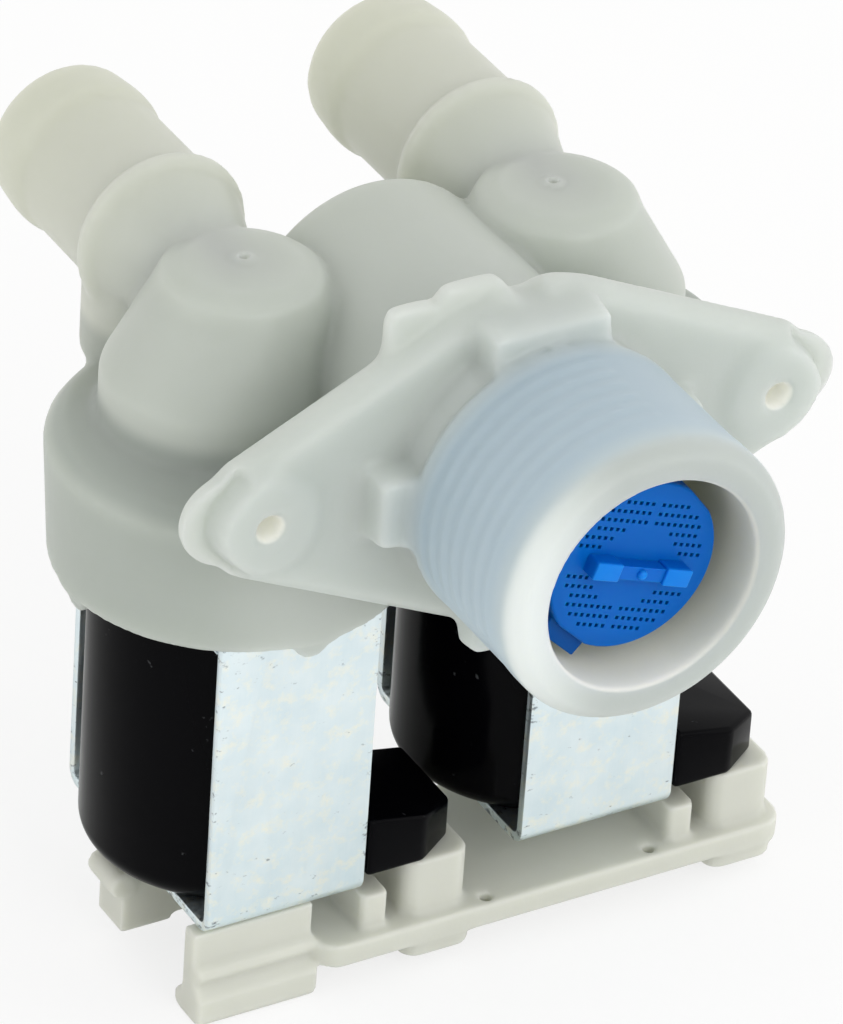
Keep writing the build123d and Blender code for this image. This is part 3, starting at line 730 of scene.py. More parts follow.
@dataclass(frozen=True)
class ZincPlate(PlatedMetal):
    """Bright zinc on pressed steel strip: blue-white mottling and dark rubs, made denser towards its side
    edges, its top and its foot.
    """

    warm: str = "#F4F3E4"
    warm_limits: tuple[float, float] = (0.5, 0.72)
    warm_share: float = 0.8
    mottle_mm: float = 1.6
    mottle_detail: float = 5.0
    mottle_contrast: float = 0.65
    scuff: str = "#56606A"
    scuff_share: float = 0.75
    rub_mm: tuple[float, float, float] = (1.1, 1.1, 0.6)
    rub_detail: float = 8.0
    rub_contrast: float = 0.6
    rub_limits: tuple[float, float] = (0.67, 0.76)
    strip_x_mm: float = 15.5
    edge_x_mm: tuple[float, float] = (6.4, 7.6)
    top_z_mm: tuple[float, float] = (-21.0, -18.6)
    foot_z_mm: tuple[float, float] = (-44.5, -47.0)
    edge_bias: float = 0.07

    def wear(self, tree: Tree, place: Socket, colour: Socket) -> Socket:
        """Add warm mottling and dark rubs, made denser towards the strip's side edges, its top and its
        foot.

        Args:
            tree: Node tree of the material.
            place: Object coordinates.
            colour: Colour of the plating.

        Returns:
            The worn colour.
        """
        stretch = {"Vector": place, "Scale": [per_mm(size) for size in self.rub_mm]}
        rubbed = add_node(tree, "ShaderNodeMapping", stretch).outputs["Vector"]
        mottle, rubs = (
            add_node(
                tree,
                "ShaderNodeTexNoise",
                {"Vector": vector, "Scale": scale, "Detail": detail, "Roughness": contrast},
            ).outputs["Fac"]
            for vector, scale, detail, contrast in (
                (place, per_mm(self.mottle_mm), self.mottle_detail, self.mottle_contrast),
                (rubbed, 1.0, self.rub_detail, self.rub_contrast),
            )
        )
        axes = add_node(tree, "ShaderNodeSeparateXYZ", {0: place}).outputs
        aside = axes["X"]
        for operation in ("ABSOLUTE", "SUBTRACT", "ABSOLUTE"):
            terms = {0: aside, 1: self.strip_x_mm * MM}
            aside = add_node(tree, "ShaderNodeMath", terms, operation=operation).outputs[0]
        # the dark patches are made denser towards the side edges, the top and the foot
        for length, (start, end) in (
            (aside, self.edge_x_mm),
            (axes["Z"], self.top_z_mm),
            (axes["Z"], self.foot_z_mm),
        ):
            rise = {"Value": length, "From Min": start * MM, "From Max": end * MM, "To Max": self.edge_bias}
            edge = add_node(tree, "ShaderNodeMapRange", rise).outputs["Result"]
            rubs = add_node(tree, "ShaderNodeMath", {0: rubs, 1: edge}, operation="ADD").outputs[0]
        for pattern, (start, end), most, tone in (
            (mottle, self.warm_limits, self.warm_share, self.warm),
            (rubs, self.rub_limits, self.scuff_share, self.scuff),
        ):
            patchy = {"Value": pattern, "From Min": start, "From Max": end, "To Max": most}
            patches = add_node(tree, "ShaderNodeMapRange", patchy).outputs["Result"]
            tones = {0: patches, 6: colour, 7: linear(tone)}
            colour = add_node(tree, "ShaderNodeMix", tones, data_type="RGBA").outputs[2]
        return colour


class Stuff(Enum):
    """Finishes of this valve, by what each piece is really made of."""

    # uncoloured polyamide, moulded: milky and satin, thin stretches glow with light let in under the skin,
    # and light and shade are painted into its colour
    BODY = NaturalPolyamide(
        "natural_polyamide",
        "#CDD1CA",
        "#BEC4BC",
        0.4,
        depth_mm=6.0,
        # painted light and shade along the inlet axis: painted blue light on the thread, painted shade
        # round the valves, painted light on the mouth and spigots
        light_and_shade_stations=(
            (-21.0, "#C4CBC9"),
            (-17.0, "#ABBECB"),
            (-6.0, "#9FB4C2"),
            (-2.8, "#BCC3C0"),
            (4.0, "#BFC4BE"),
            (10.0, "#B7BDB6"),
            (29.0, "#B9BEB4"),
            (37.0, "#C8CABC"),
            (54.0, "#CBCCBA"),
        ),
    )
    # white polyester, moulded: plain off-white with a dull satin skin
    CARRIER = MouldedPlastic("white_polyester_moulding", "#D4D5CB", "#C9CAC0", 0.48, depth_mm=2.0)
    # white acetal, moulded: dense and a little waxy
    INNER = MouldedPlastic("white_acetal_moulding", "#E0DFDA", "#D3D2CC", 0.4)
    # blue polypropylene, moulded: strong blue, with a painted highlight on the grip's front and painted
    # shade the deeper it lies in the bore
    STRAINER = PaintedLightPlastic(
        "blue_polypropylene",
        "#006CD0",
        "#0060BE",
        0.4,
        depth_mm=0.4,
        shine=0.12,
        # painted light and shade along the inlet axis: a painted highlight on the grip's front, painted
        # shade on its top, darker the deeper it lies in the bore
        light_and_shade_stations=(
            (-19.1, "#1288E4"),
            (-18.9, "#0A72D0"),
            (-18.6, "#0058B6"),
            (-17.6, "#0056B2"),
            (-17.4, "#0062B8"),
            (-16.9, "#004C94"),
            (-12.0, "#004488"),
        ),
    )
    # moulded rubber: nearly black and matt
    RUBBER = MouldedPlastic("black_rubber", "#17181A", "#222326", 0.75)
    # black polyamide, moulded over the winding: deep gloss with sharp highlights
    COVER = GlossyPlastic("black_overmould", "#040406", "#6F7274", 0.17)
    # pressed steel strip, zinc plated: blue-white, mottled, with dark rubs that are denser towards its
    # edges, top and foot
    ZINC = ZincPlate("zinc_plated_steel", "#F0F7F7", "#CFE1E8", 0.42)
    # turned steel: plain grey with fine scratches along it
    STEEL = PlatedMetal("turned_steel", "#9A9B9C", "#86888A", 0.35)
    # enamelled copper wire, wound: warm brown metal with fine lines round the coil
    COPPER = PlatedMetal("enamelled_copper_wire", "#B4623A", "#A2532E", 0.3, scratch_mm=(6.0, 6.0, 0.4))
    # tinned brass, stamped: pale and dull
    TIN = PlatedMetal("tinned_brass", "#C9C6BC", "#B9B5AA", 0.35)

    def build(self) -> bpy.types.Material:
        """The material of this finish, made on its first use."""
        return bpy.data.materials.get(self.value.name) or self.value.build()


def finish_piece(piece: bpy.types.Object, stuff: Stuff, node: str, body: str = "base") -> None:
    """Smooth a piece between its sharp edges, dress it and let it stand for its CAD node.

    Args:
        piece: The modelled piece.
        stuff: Its finish.
        node: CAD node that it stands for.
        body: Body that it rides on.
    """
    activate(piece)
    bpy.ops.object.shade_smooth_by_angle(angle=SMOOTH_ANGLE)
    dress(piece, stuff.build())
    stand_in(piece, node, body)


@dataclass
class SoftMoulding:
    """A moulding with soft edges and inside corners, remade from its CAD node's solid."""

    node: str
    name: str
    slot: str
    stuff: Stuff
    voxel_mm: float
    softening: int
    triangle_limit: int
    smooth_factor: float = 0.5

    def build(self) -> bpy.types.Object:
        """Remake the node as one skin with rounded edges and dress it.

        Returns:
            The finished piece.
        """
        piece = copy_node(self.node, self.name)
        self.prepare(piece)
        apply_modifier(piece, "REMESH", mode="VOXEL", voxel_size=self.voxel_mm * MM)
        apply_modifier(piece, "SMOOTH", factor=self.smooth_factor, iterations=self.softening)
        self.shape(piece)
        triangles = sum(len(p.vertices) - 2 for p in piece.data.polygons)
        if triangles > self.triangle_limit:
            apply_modifier(piece, "DECIMATE", ratio=self.triangle_limit / triangles)
        activate(piece)
        bpy.ops.object.shade_smooth()
        dress(piece, self.stuff.build())
        stand_in(piece, self.node)
        return piece

    def prepare(self, piece: bpy.types.Object) -> None:
        """Add nothing to the solid; a moulding with forms of its own overrides this."""

    def shape(self, piece: bpy.types.Object) -> None:
        """Leave the softened skin as it is; a moulding with finer forms overrides this."""


@dataclass
class CarrierMoulding(SoftMoulding):
    """The terminal carrier, with a bead across its front leg and its second peg hole moved along."""

    bead_x_mm: tuple[float, float] = (-23.6, -12.0)
    bead_y_mm: float = 8.9
    bead_z_mm: float = -52.1
    bead_d_mm: float = 1.5
    plate_z_mm: tuple[float, float] = (-54.1, -51.8)
    old_hole_mm: tuple[float, float] = (-9.7, 8.1)
    new_hole_mm: tuple[float, float] = (4.6, 8.0)
    plug_r_mm: float = 0.9
    hole_r_mm: float = 0.6

    def prepare(self, piece: bpy.types.Object) -> None:
        """Plug one peg hole, drill another and lay the bead on the leg.

        Args:
            piece: Copy of the carrier's solid.
        """
        low, high = self.plate_z_mm
        plug = rod((*self.old_hole_mm, (low + high) / 2), self.plug_r_mm, high - low)
        middle = (sum(self.bead_x_mm) / 2, self.bead_y_mm, self.bead_z_mm)
        length = self.bead_x_mm[1] - self.bead_x_mm[0]
        bead = rod(middle, self.bead_d_mm / 2, length, (0, math.pi / 2, 0))
        drill = rod((*self.new_hole_mm, (low + high) / 2), self.hole_r_mm, 2 * (high - low))
        combine(piece, "DIFFERENCE", drill)
        merge(piece, (plug, bead))


@dataclass
class ValveMoulding(SoftMoulding):
    """The valve body, with flared necks, set-back lugs, a hose thread and gate marks worked into it."""

    inlet_r_mm: float = 13.2
    skin_mm: float = 0.9
    thread_front_mm: float = -17.2
    thread_back_mm: float = -4.2
    thread_pitch_mm: float = 1.81
    thread_depth_mm: float = 0.1
    thread_fade_mm: float = 1.6
    relief_turns: tuple[float, float] = (20.0, 82.0)
    relief_fade: float = 4.0
    gate_x_mm: float = 14.9
    gate_y_mm: float = 22.4
    gate_z_mm: float = 9.6
    gate_r_mm: float = 0.75
    gate_rise_mm: float = 0.5
    gate_reach: float = 3.0
    gate_pit: float = 1.9
    gate_pit_width: float = 2.2
    gate_cuts: int = 3
    thread_cuts: int = 1
    outlet_x_mm: float = 15.5
    outlet_z_mm: float = 5.4
    neck_y_mm: tuple[float, float] = (27.6, 34.6)
    neck_r_mm: tuple[float, float] = (4.9, 7.3)
    neck_wall_mm: float = 1.2
    neck_sides: int = 72
    flange_y_mm: tuple[float, float] = (-3.8, 5.2)
    flange_inner_mm: float = 14.0
    flange_softening: int = 12
    hole_x_mm: float = 24.3
    hole_clear_mm: float = 2.2
    boss_r_mm: float = 4.5
    ear_x_mm: float = 26.3
    ear_sink_mm: float = 1.7
    ear_step_mm: tuple[float, float] = (-0.7, 0.3)
    boss_step_mm: tuple[float, float] = (-0.4, 0.4)
    ear_taper_mm: float = 1.8
    ear_narrowing: float = 0.13
    bore_r_mm: float = 9.75
    bore_end_mm: float = -6.0
    mouth_y_mm: float = -20.795
    mouth_edge_mm: float = 0.5
    mouth_reach_mm: float = 0.4

    def prepare(self, piece: bpy.types.Object) -> None:
        """Flare the necks behind the hose collars.

        Args:
            piece: Copy of the body's solid.
        """
        start, end = self.neck_y_mm
        bpy.ops.object.select_all(action="DESELECT")
        bpy.ops.mesh.primitive_cone_add(
            vertices=self.neck_sides,
            radius1=self.neck_r_mm[0] * MM,
            radius2=self.neck_r_mm[1] * MM,
            depth=(end - start) * MM,
            end_fill_type="NOTHING",
            location=Vector((-self.outlet_x_mm, (start + end) / 2, self.outlet_z_mm)) * MM,
            rotation=(-math.pi / 2, 0, 0),
        )
        left = bpy.context.object
        bpy.ops.object.transform_apply(location=True, rotation=True)
        apply_modifier(left, "SOLIDIFY", thickness=self.neck_wall_mm * MM, offset=-1)
        right = bpy.data.objects.new("neck", left.data.copy())
        right.data.transform(Matrix.Translation((2 * self.outlet_x_mm * MM, 0, 0)))
        bpy.context.scene.collection.objects.link(right)
        merge(piece, (left, right))

    def soften_flange(self, piece: bpy.types.Object) -> None:
        """Round the flange, its ears and keys further than the rest of the body.

        Args:
            piece: The softened body.
        """
        across, along, upward = corners(piece).T / MM
        from_hole = np.hypot(np.abs(across) - self.hole_x_mm, upward)
        plate = (
            (along > self.flange_y_mm[0])
            & (along < self.flange_y_mm[1])
            & (np.hypot(across, upward) > self.flange_inner_mm)
            & (from_hole > self.hole_clear_mm)
        )
        group = piece.vertex_groups.new(name="flange")
        group.add(np.flatnonzero(plate).tolist(), 1.0, "REPLACE")
        apply_modifier(
            piece,
            "SMOOTH",
            factor=self.smooth_factor,
            iterations=self.flange_softening,
            vertex_group=group.name,
        )

    def set_back_ears(self, points: np.ndarray) -> None:
        """Set the tip of each lug back behind its boss and make it narrower.

        Args:
            points: Places in metres, changed where they are.
        """
        across, along, upward = points.T / MM
        reach = np.abs(across)
        on_plate = (along > self.flange_y_mm[0]) & (along < self.flange_y_mm[1])
        from_hole = np.hypot(reach - self.hole_x_mm, upward)
        tip = ease(reach - self.ear_x_mm, *self.ear_step_mm)
        beyond = ease(from_hole - self.boss_r_mm, *self.boss_step_mm)
        sink = np.clip(self.ear_sink_mm - along, 0, None) * tip * beyond
        points[:, 1] += np.where(on_plate, sink, 0) * MM
        narrowing = self.ear_narrowing * ease(reach - self.ear_x_mm, 0.0, self.ear_taper_mm)
        points[:, 2] *= np.where(on_plate, 1 - narrowing, 1)

    def true_mouth(self, points: np.ndarray) -> None:
        """Make the bore and the edge of its mouth exactly round.

        Args:
            points: Places in metres, changed where they are.
        """
        radius = np.hypot(points[:, 0], points[:, 2]) / MM
        along = points[:, 1] / MM
        round_r = self.bore_r_mm + self.mouth_edge_mm
        round_y = self.mouth_y_mm + self.mouth_edge_mm
        off_r, off_y = radius - round_r, along - round_y
        edge = (off_r < 0) & (off_y < 0)
        near_wall = np.abs(radius - self.bore_r_mm) < self.mouth_reach_mm
        near_face = np.abs(along - self.mouth_y_mm) < self.mouth_reach_mm
        wall = near_wall & (off_y >= 0) & (along < self.bore_end_mm)
        face = near_face & (off_r >= 0) & (off_r < self.mouth_edge_mm)
        stretch = self.mouth_edge_mm / np.maximum(np.hypot(off_r, off_y), self.mouth_edge_mm / 10)
        true_r = np.where(wall, self.bore_r_mm, np.where(edge, round_r + off_r * stretch, radius))
        true_y = np.where(face, self.mouth_y_mm, np.where(edge, round_y + off_y * stretch, along))
        points[:, 0::2] *= (true_r / radius)[:, None]
        points[:, 1] = true_y * MM

    def shape(self, piece: bpy.types.Object) -> None:
        """Refine the inlet's skin and the dome tops, and work the thread and gate marks into them.

        Args:
            piece: The softened body.
        """
        self.soften_flange(piece)
        for region, cuts in ((self.on_thread, self.thread_cuts), (self.on_gate, self.gate_cuts)):
            spots = np.empty(len(piece.data.polygons) * 3)
            piece.data.polygons.foreach_get("center", spots)
            pick(piece, Pick.FACE, region(spots.reshape(-1, 3)))
            bpy.ops.mesh.subdivide(number_cuts=cuts, smoothness=0.0)
            bpy.ops.object.mode_set(mode="OBJECT")
        points = corners(piece)
        radius = np.hypot(points[:, 0], points[:, 2])
        points[:, 0::2] *= (1 - self.thread_sink(points) / radius)[:, None]
        points[:, 2] += self.gate_rise(points)
        self.set_back_ears(points)
        self.true_mouth(points)
        piece.data.vertices.foreach_set("co", points.ravel())
        piece.data.update()

    def gate_distance(self, points: np.ndarray) -> np.ndarray:
        """Work out how far each point is from the nearer gate's axis.

        Args:
            points: Places in metres, one row each.

        Returns:
            Distances in gate radii.
        """
        off_x = np.abs(points[:, 0]) / MM - self.gate_x_mm
        off_y = points[:, 1] / MM - self.gate_y_mm
        return np.hypot(off_x, off_y) / self.gate_r_mm

    def on_gate(self, points: np.ndarray) -> np.ndarray:
        """Tell which points lie round the moulding gates on the dome tops.

        Args:
            points: Places in metres, one row each.

        Returns:
            True for each point near a gate.
        """
        return (self.gate_distance(points) < self.gate_reach) & (points[:, 2] > self.gate_z_mm * MM)

    def gate_rise(self, points: np.ndarray) -> np.ndarray:
        """Work out the small nub with a broken-off middle that each gate left.

        Args:
            points: Places in metres, one row each.

        Returns:
            Height above the dome at each point, in metres.
        """
        distance = self.gate_distance(points)
        nub = np.exp(-(distance**2)) - self.gate_pit * np.exp(-((self.gate_pit_width * distance) ** 2))
        return np.where(self.on_gate(points), nub * self.gate_rise_mm * MM, 0.0)

    def on_thread(self, points: np.ndarray) -> np.ndarray:
        """Tell which points lie on the outer skin along the thread.

        Args:
            points: Places in metres, one row each.

        Returns:
            True for each point on the threaded skin.
        """
        radius = np.hypot(points[:, 0], points[:, 2])
        along = points[:, 1]
        return (
            (radius > (self.inlet_r_mm - self.skin_mm) * MM)
            & (radius < (self.inlet_r_mm + self.skin_mm) * MM)
            & (along > self.thread_front_mm * MM)
            & (along < self.thread_back_mm * MM)
        )

    def thread_sink(self, points: np.ndarray) -> np.ndarray:
        """Work out how far the thread goes below the crests.

        Args:
            points: Places in metres, one row each.

        Returns:
            Depth below the crest at each point, in metres.
        """
        along = points[:, 1] / MM
        turn = np.degrees(np.arctan2(points[:, 2], points[:, 0])) % 360
        phase = along / self.thread_pitch_mm + turn / 360
        groove = 0.5 + 0.5 * np.cos(2 * math.pi * phase)
        half_turn = turn % 180
        middle = sum(self.relief_turns) / 2
        reach = (self.relief_turns[1] - self.relief_turns[0]) / 2
        relief = np.clip((reach - np.abs(half_turn - middle)) / self.relief_fade, 0, 1)
        depth = groove * (1 - relief) + relief
        ends = np.minimum(along - self.thread_front_mm, self.thread_back_mm - along)
        fade = np.clip(ends / self.thread_fade_mm, 0, 1)
        return np.where(self.on_thread(points), depth * fade * self.thread_depth_mm * MM, 0.0)


@dataclass
class CoilShell:
    """Black overmould of one coil: a rounded drum with a faceted terminal block."""

    side: str
    drum_r_mm: float = 12.0
    rim_mm: float = 2.4
    rim_steps: int = 10
    edge_mm: float = 0.5
    edge_steps: int = 4
    drum_sides: int = 160
    core_sides: int = 96
    cavity_r_mm: float = 10.8
    bore_r_mm: float = 7.25
    floor_mm: float = 1.0
    roof_mm: float = 0.5
    block_side_mm: float = 7.8
    block_front_mm: float = 13.1
    block_back_mm: float = 2.0
    block_reach_mm: float = 17.2
    block_bottom_mm: float = -46.0
    block_top_mm: float = -40.0
    block_slope: float = 11.0
    corner_mm: tuple[float, float] = (3.8, 2.5)

    def build(self) -> bpy.types.Object:
        """Model the drum and its block, join them and dress them.

        Returns:
            The finished shell.
        """
        node = f"coil_cover_{self.side}"
        low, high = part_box(node)
        axis = Vector((low.x + self.drum_r_mm * MM, high.y - self.drum_r_mm * MM, 0))
        drum = self.drum(axis, low.z, high.z)
        block = self.block(axis)
        core = self.core(axis, low.z, high.z)
        for operation, tool in (("UNION", block), ("DIFFERENCE", core)):
            combine(drum, operation, tool)
        finish_piece(drum, Stuff.COVER, node)
        return drum

    def drum(self, axis: Vector, bottom: float, top: float) -> bpy.types.Object:
        """Model the round part.

        Args:
            axis: Point on the valve axis at height zero.
            bottom: Height of the lower face, in metres.
            top: Height of the upper face, in metres.

        Returns:
            A drum with a large lower and a small upper rounding.
        """
        middle = axis + Vector((0, 0, (bottom + top) / 2))
        drum = rod(middle / MM, self.drum_r_mm, (top - bottom) / MM, sides=self.drum_sides)
        drum.name = f"coil_shell_{self.side}"
        round_rim(drum, 2, bottom, self.rim_mm, self.rim_steps)
        round_rim(drum, 2, top, self.edge_mm, self.edge_steps)
        return drum

    def core(self, axis: Vector, bottom: float, top: float) -> bpy.types.Object:
        """Model the space that the bobbin and its sleeve fill.

        Args:
            axis: Point on the valve axis at height zero.
            bottom: Height of the shell's lower face, in metres.
            top: Height of the shell's upper face, in metres.

        Returns:
            A stepped core, wide inside the shell and narrow through its ends.
        """
        floor = bottom + self.floor_mm * MM
        roof = top - self.roof_mm * MM
        middle = axis + Vector((0, 0, (floor + roof) / 2))
        core = rod(middle / MM, self.cavity_r_mm, (roof - floor) / MM, sides=self.core_sides)
        for level in (floor, roof):
            heights = np.array([face.center.z for face in core.data.polygons])
            pick(core, Pick.FACE, np.isclose(heights, level, atol=LEVEL))
            bpy.ops.mesh.inset(thickness=(self.cavity_r_mm - self.bore_r_mm) * MM)
            way = 1 if level == roof else -1
            bpy.ops.mesh.extrude_region_move(
                TRANSFORM_OT_translate={"value": (0, 0, way * 2 * self.floor_mm * MM)}
            )
            bpy.ops.object.mode_set(mode="OBJECT")
        return core

    def block(self, axis: Vector) -> bpy.types.Object:
        """Model the terminal block beside the drum.

        Args:
            axis: Point on the valve axis at height zero.

        Returns:
            A block with a sloping top and a cut corner.
        """
        low = Vector((self.block_side_mm, -self.block_front_mm, self.block_bottom_mm))
        high = Vector((self.block_reach_mm, -self.block_back_mm, self.block_top_mm))
        block = bar(axis / MM + low, axis / MM + high)
        slope = math.radians(self.block_slope)
        top_edge = axis + Vector((self.block_side_mm, 0, self.block_top_mm)) * MM
        cut_x, cut_y = self.corner_mm
        side_edge = axis + Vector((self.block_reach_mm, cut_y - self.block_front_mm, 0)) * MM
        cuts = (
            (top_edge, Vector((math.sin(slope), 0, math.cos(slope)))),
            (side_edge, Vector((cut_y, -cut_x, 0)).normalized()),
        )
        bpy.ops.object.mode_set(mode="EDIT")
        for place, outward in cuts:
            bpy.ops.mesh.select_all(action="SELECT")
            bpy.ops.mesh.bisect(plane_co=place, plane_no=outward, use_fill=True, clear_outer=True)
        bpy.ops.mesh.select_all(action="SELECT")
        bpy.ops.mesh.bevel(offset=self.edge_mm * MM, segments=self.edge_steps, affect="EDGES")
        bpy.ops.object.mode_set(mode="OBJECT")
        return block


@dataclass
class SheetPiece:
    """A pressed or turned piece with its own outline, whose edges are only broken."""

    node: str
    name: str
    slot: str
    stuff: Stuff
    edge_mm: float
    edge_steps: int = 2
    flat_angle: float = 1.0
    edge_angle: float = 40.0

    def build(self) -> bpy.types.Object:
        """Copy the node, break its edges and dress it.

        Returns:
            The finished piece.
        """
        piece = copy_node(self.node, self.name)
        bpy.ops.object.mode_set(mode="EDIT")
        bpy.ops.mesh.select_all(action="SELECT")
        bpy.ops.mesh.dissolve_limited(angle_limit=math.radians(self.flat_angle))
        bpy.ops.object.mode_set(mode="OBJECT")
        apply_modifier(
            piece,
            "BEVEL",
            width=self.edge_mm * MM,
            segments=self.edge_steps,
            limit_method="ANGLE",
            angle_limit=math.radians(self.edge_angle),
            use_clamp_overlap=True,
        )
        finish_piece(piece, self.stuff, self.node)
        return piece


@dataclass
class Strainer:
    """The inlet strainer: a cup with fine holes in its face, a low grip across it and one tab.

    It is modelled with its grip level, and turned into place at the end.
    """

    node: str = "inlet_filter"
    turn: float = 20.0
    face_y_mm: float = -17.4
    face_r_mm: float = 7.75
    face_t_mm: float = 1.2
    back_y_mm: float = -3.25
    wall_mm: float = 0.9
    rim_mm: float = 0.25
    lip_r_mm: float = 9.6
    lip_t_mm: float = 1.4
    flats: tuple[tuple[float, float], ...] = ((245.5, 7.55), (57.0, 7.6))
    tab_half_mm: float = 2.3
    tab_reach_mm: float = 9.0
    tab_y_mm: tuple[float, float] = (-16.6, -11.0)
    first_row_mm: float = 1.43
    row_pitch_mm: float = 0.86
    column_pitch_mm: float = 0.63
    row_starts_mm: tuple[float, ...] = (4.15, 3.3, 2.45, 0.55, 0.55, 0.55)
    row_counts: tuple[int, ...] = (4, 5, 5, 8, 7, 5)
    hole_mm: float = 0.35
    hole_lead_mm: float = 1.0
    grip_half_mm: float = 4.9
    grip_y_mm: tuple[float, float] = (-19.05, -17.0)
    web_half_mm: float = 0.6
    web_y_mm: float = -18.75
    pad_half_mm: float = 0.8
    pad_mm: float = 2.6
    edge_mm: float = 0.15
    nub_r_mm: float = 0.45
    nub_sides: tuple[int, int] = (24, 16)
    cup_sides: int = 128
    rim_steps: int = 3

    def build(self) -> bpy.types.Object:
        """Model the cup, add the grip and the tab, cut the holes, and turn and dress it.

        Returns:
            The finished strainer.
        """
        piece = self.cup()
        combine(piece, "UNION", self.tab())
        combine(piece, "DIFFERENCE", self.holes())
        combine(piece, "UNION", self.grip())
        piece.data.transform(Matrix.Rotation(math.radians(self.turn), 4, "Y"))
        piece.name = "strainer"
        finish_piece(piece, Stuff.STRAINER, self.node, "filter")
        return piece

    def along(self, radius_mm: float, start_mm: float, end_mm: float) -> bpy.types.Object:
        """Make a fine round rod on the inlet axis between two stations."""
        middle = (0, (start_mm + end_mm) / 2, 0)
        return rod(middle, radius_mm, end_mm - start_mm, (math.pi / 2, 0, 0), sides=self.cup_sides)

    def cup(self) -> bpy.types.Object:
        """Model the hollow cup with its flat sides, rounded rim and lip.

        Returns:
            The cup, open at the back.
        """
        cup = self.along(self.face_r_mm, self.face_y_mm, self.back_y_mm)
        bpy.ops.object.mode_set(mode="EDIT")
        for angle, reach in self.flats:
            bpy.ops.mesh.select_all(action="SELECT")
            outward = Vector((math.cos(math.radians(angle)), 0, math.sin(math.radians(angle))))
            bpy.ops.mesh.bisect(
                plane_co=outward * reach * MM,
                plane_no=outward,
                use_fill=True,
                clear_outer=True,
                threshold=WELD,
            )
        bpy.ops.object.mode_set(mode="OBJECT")
        round_rim(cup, 1, self.face_y_mm * MM, self.rim_mm, self.rim_steps)
        combine(cup, "UNION", self.along(self.lip_r_mm, self.back_y_mm - self.lip_t_mm, self.back_y_mm))
        start, end = self.face_y_mm + self.face_t_mm, self.back_y_mm + self.lip_t_mm
        combine(cup, "DIFFERENCE", self.along(self.face_r_mm - self.wall_mm, start, end))
        return cup

    def tab(self) -> bpy.types.Object:
        """Model the tab that stands out below the first flat, a little behind the face.

        Returns:
            A bar to add to the cup.
        """
        angle, reach = self.flats[0]
        start, end = self.tab_y_mm
        low = (reach - self.wall_mm, start, -self.tab_half_mm)
        high = (self.tab_reach_mm, end, self.tab_half_mm)
        tab = bar(low, high, self.edge_mm)
        tab.data.transform(Matrix.Rotation(math.radians(-angle), 4, "Y"))
        return tab

    def grip(self) -> bpy.types.Object:
        """Model the grip: two pads, a lower web between them and a small nub in its middle.

        Returns:
            One solid to add to the cup.
        """
        front, back = self.grip_y_mm
        inner = self.grip_half_mm - self.pad_mm
        pads = [
            bar((low, front, -self.pad_half_mm), (low + self.pad_mm, back, self.pad_half_mm), self.edge_mm)
            for low in (-self.grip_half_mm, inner)
        ]
        end = inner + self.pad_mm / 2
        web = bar((-end, self.web_y_mm, -self.web_half_mm), (end, back - self.edge_mm, self.web_half_mm))
        bpy.ops.object.select_all(action="DESELECT")
        bpy.ops.mesh.primitive_uv_sphere_add(
            segments=self.nub_sides[0],
            ring_count=self.nub_sides[1],
            radius=self.nub_r_mm * MM,
            location=Vector((0, self.web_y_mm, 0)) * MM,
        )
        bpy.ops.object.transform_apply(location=True)
        nub = bpy.context.object
        for part in (*pads, nub):
            combine(web, "UNION", part)
        return web

    def holes(self) -> bpy.types.Object:
        """Make one tool of all the little square holes, in four quarters alike.

        Returns:
            The joined tool.
        """
        half = self.hole_mm / 2
        start, end = self.face_y_mm - self.hole_lead_mm, self.face_y_mm + 2 * self.face_t_mm
        first = bar((-half, start, -half), (half, end, half))
        copies = []
        for row, (start, count) in enumerate(zip(self.row_starts_mm, self.row_counts)):
            upward = self.first_row_mm + row * self.row_pitch_mm
            for column in range(count):
                across = start + column * self.column_pitch_mm
                for right, up in ((1, 1), (1, -1), (-1, 1), (-1, -1)):
                    copy = bpy.data.objects.new("hole", first.data.copy())
                    offset = Vector((right * across, 0, up * upward)) * MM
                    copy.data.transform(Matrix.Translation(offset))
                    bpy.context.scene.collection.objects.link(copy)
                    copies.append(copy)
        bpy.data.objects.remove(first)
        merge(copies[0], copies[1:])
        return copies[0]


@dataclass(frozen=True)
class Lamp:
    """One square lamp that faces the valve."""

    name: str
    place_m: tuple[float, float, float]
    size_m: float
    watts: float

    def hang(self) -> None:
        """Put the lamp into the scene."""
        light = bpy.data.lights.new(self.name, "AREA")
        light.size = self.size_m
        light.energy = self.watts
        lamp = bpy.data.objects.new(self.name, light)
        lamp.location = self.place_m
        lamp.rotation_euler = (-Vector(self.place_m)).to_track_quat("-Z", "Y").to_euler()
        bpy.context.scene.collection.objects.link(lamp)


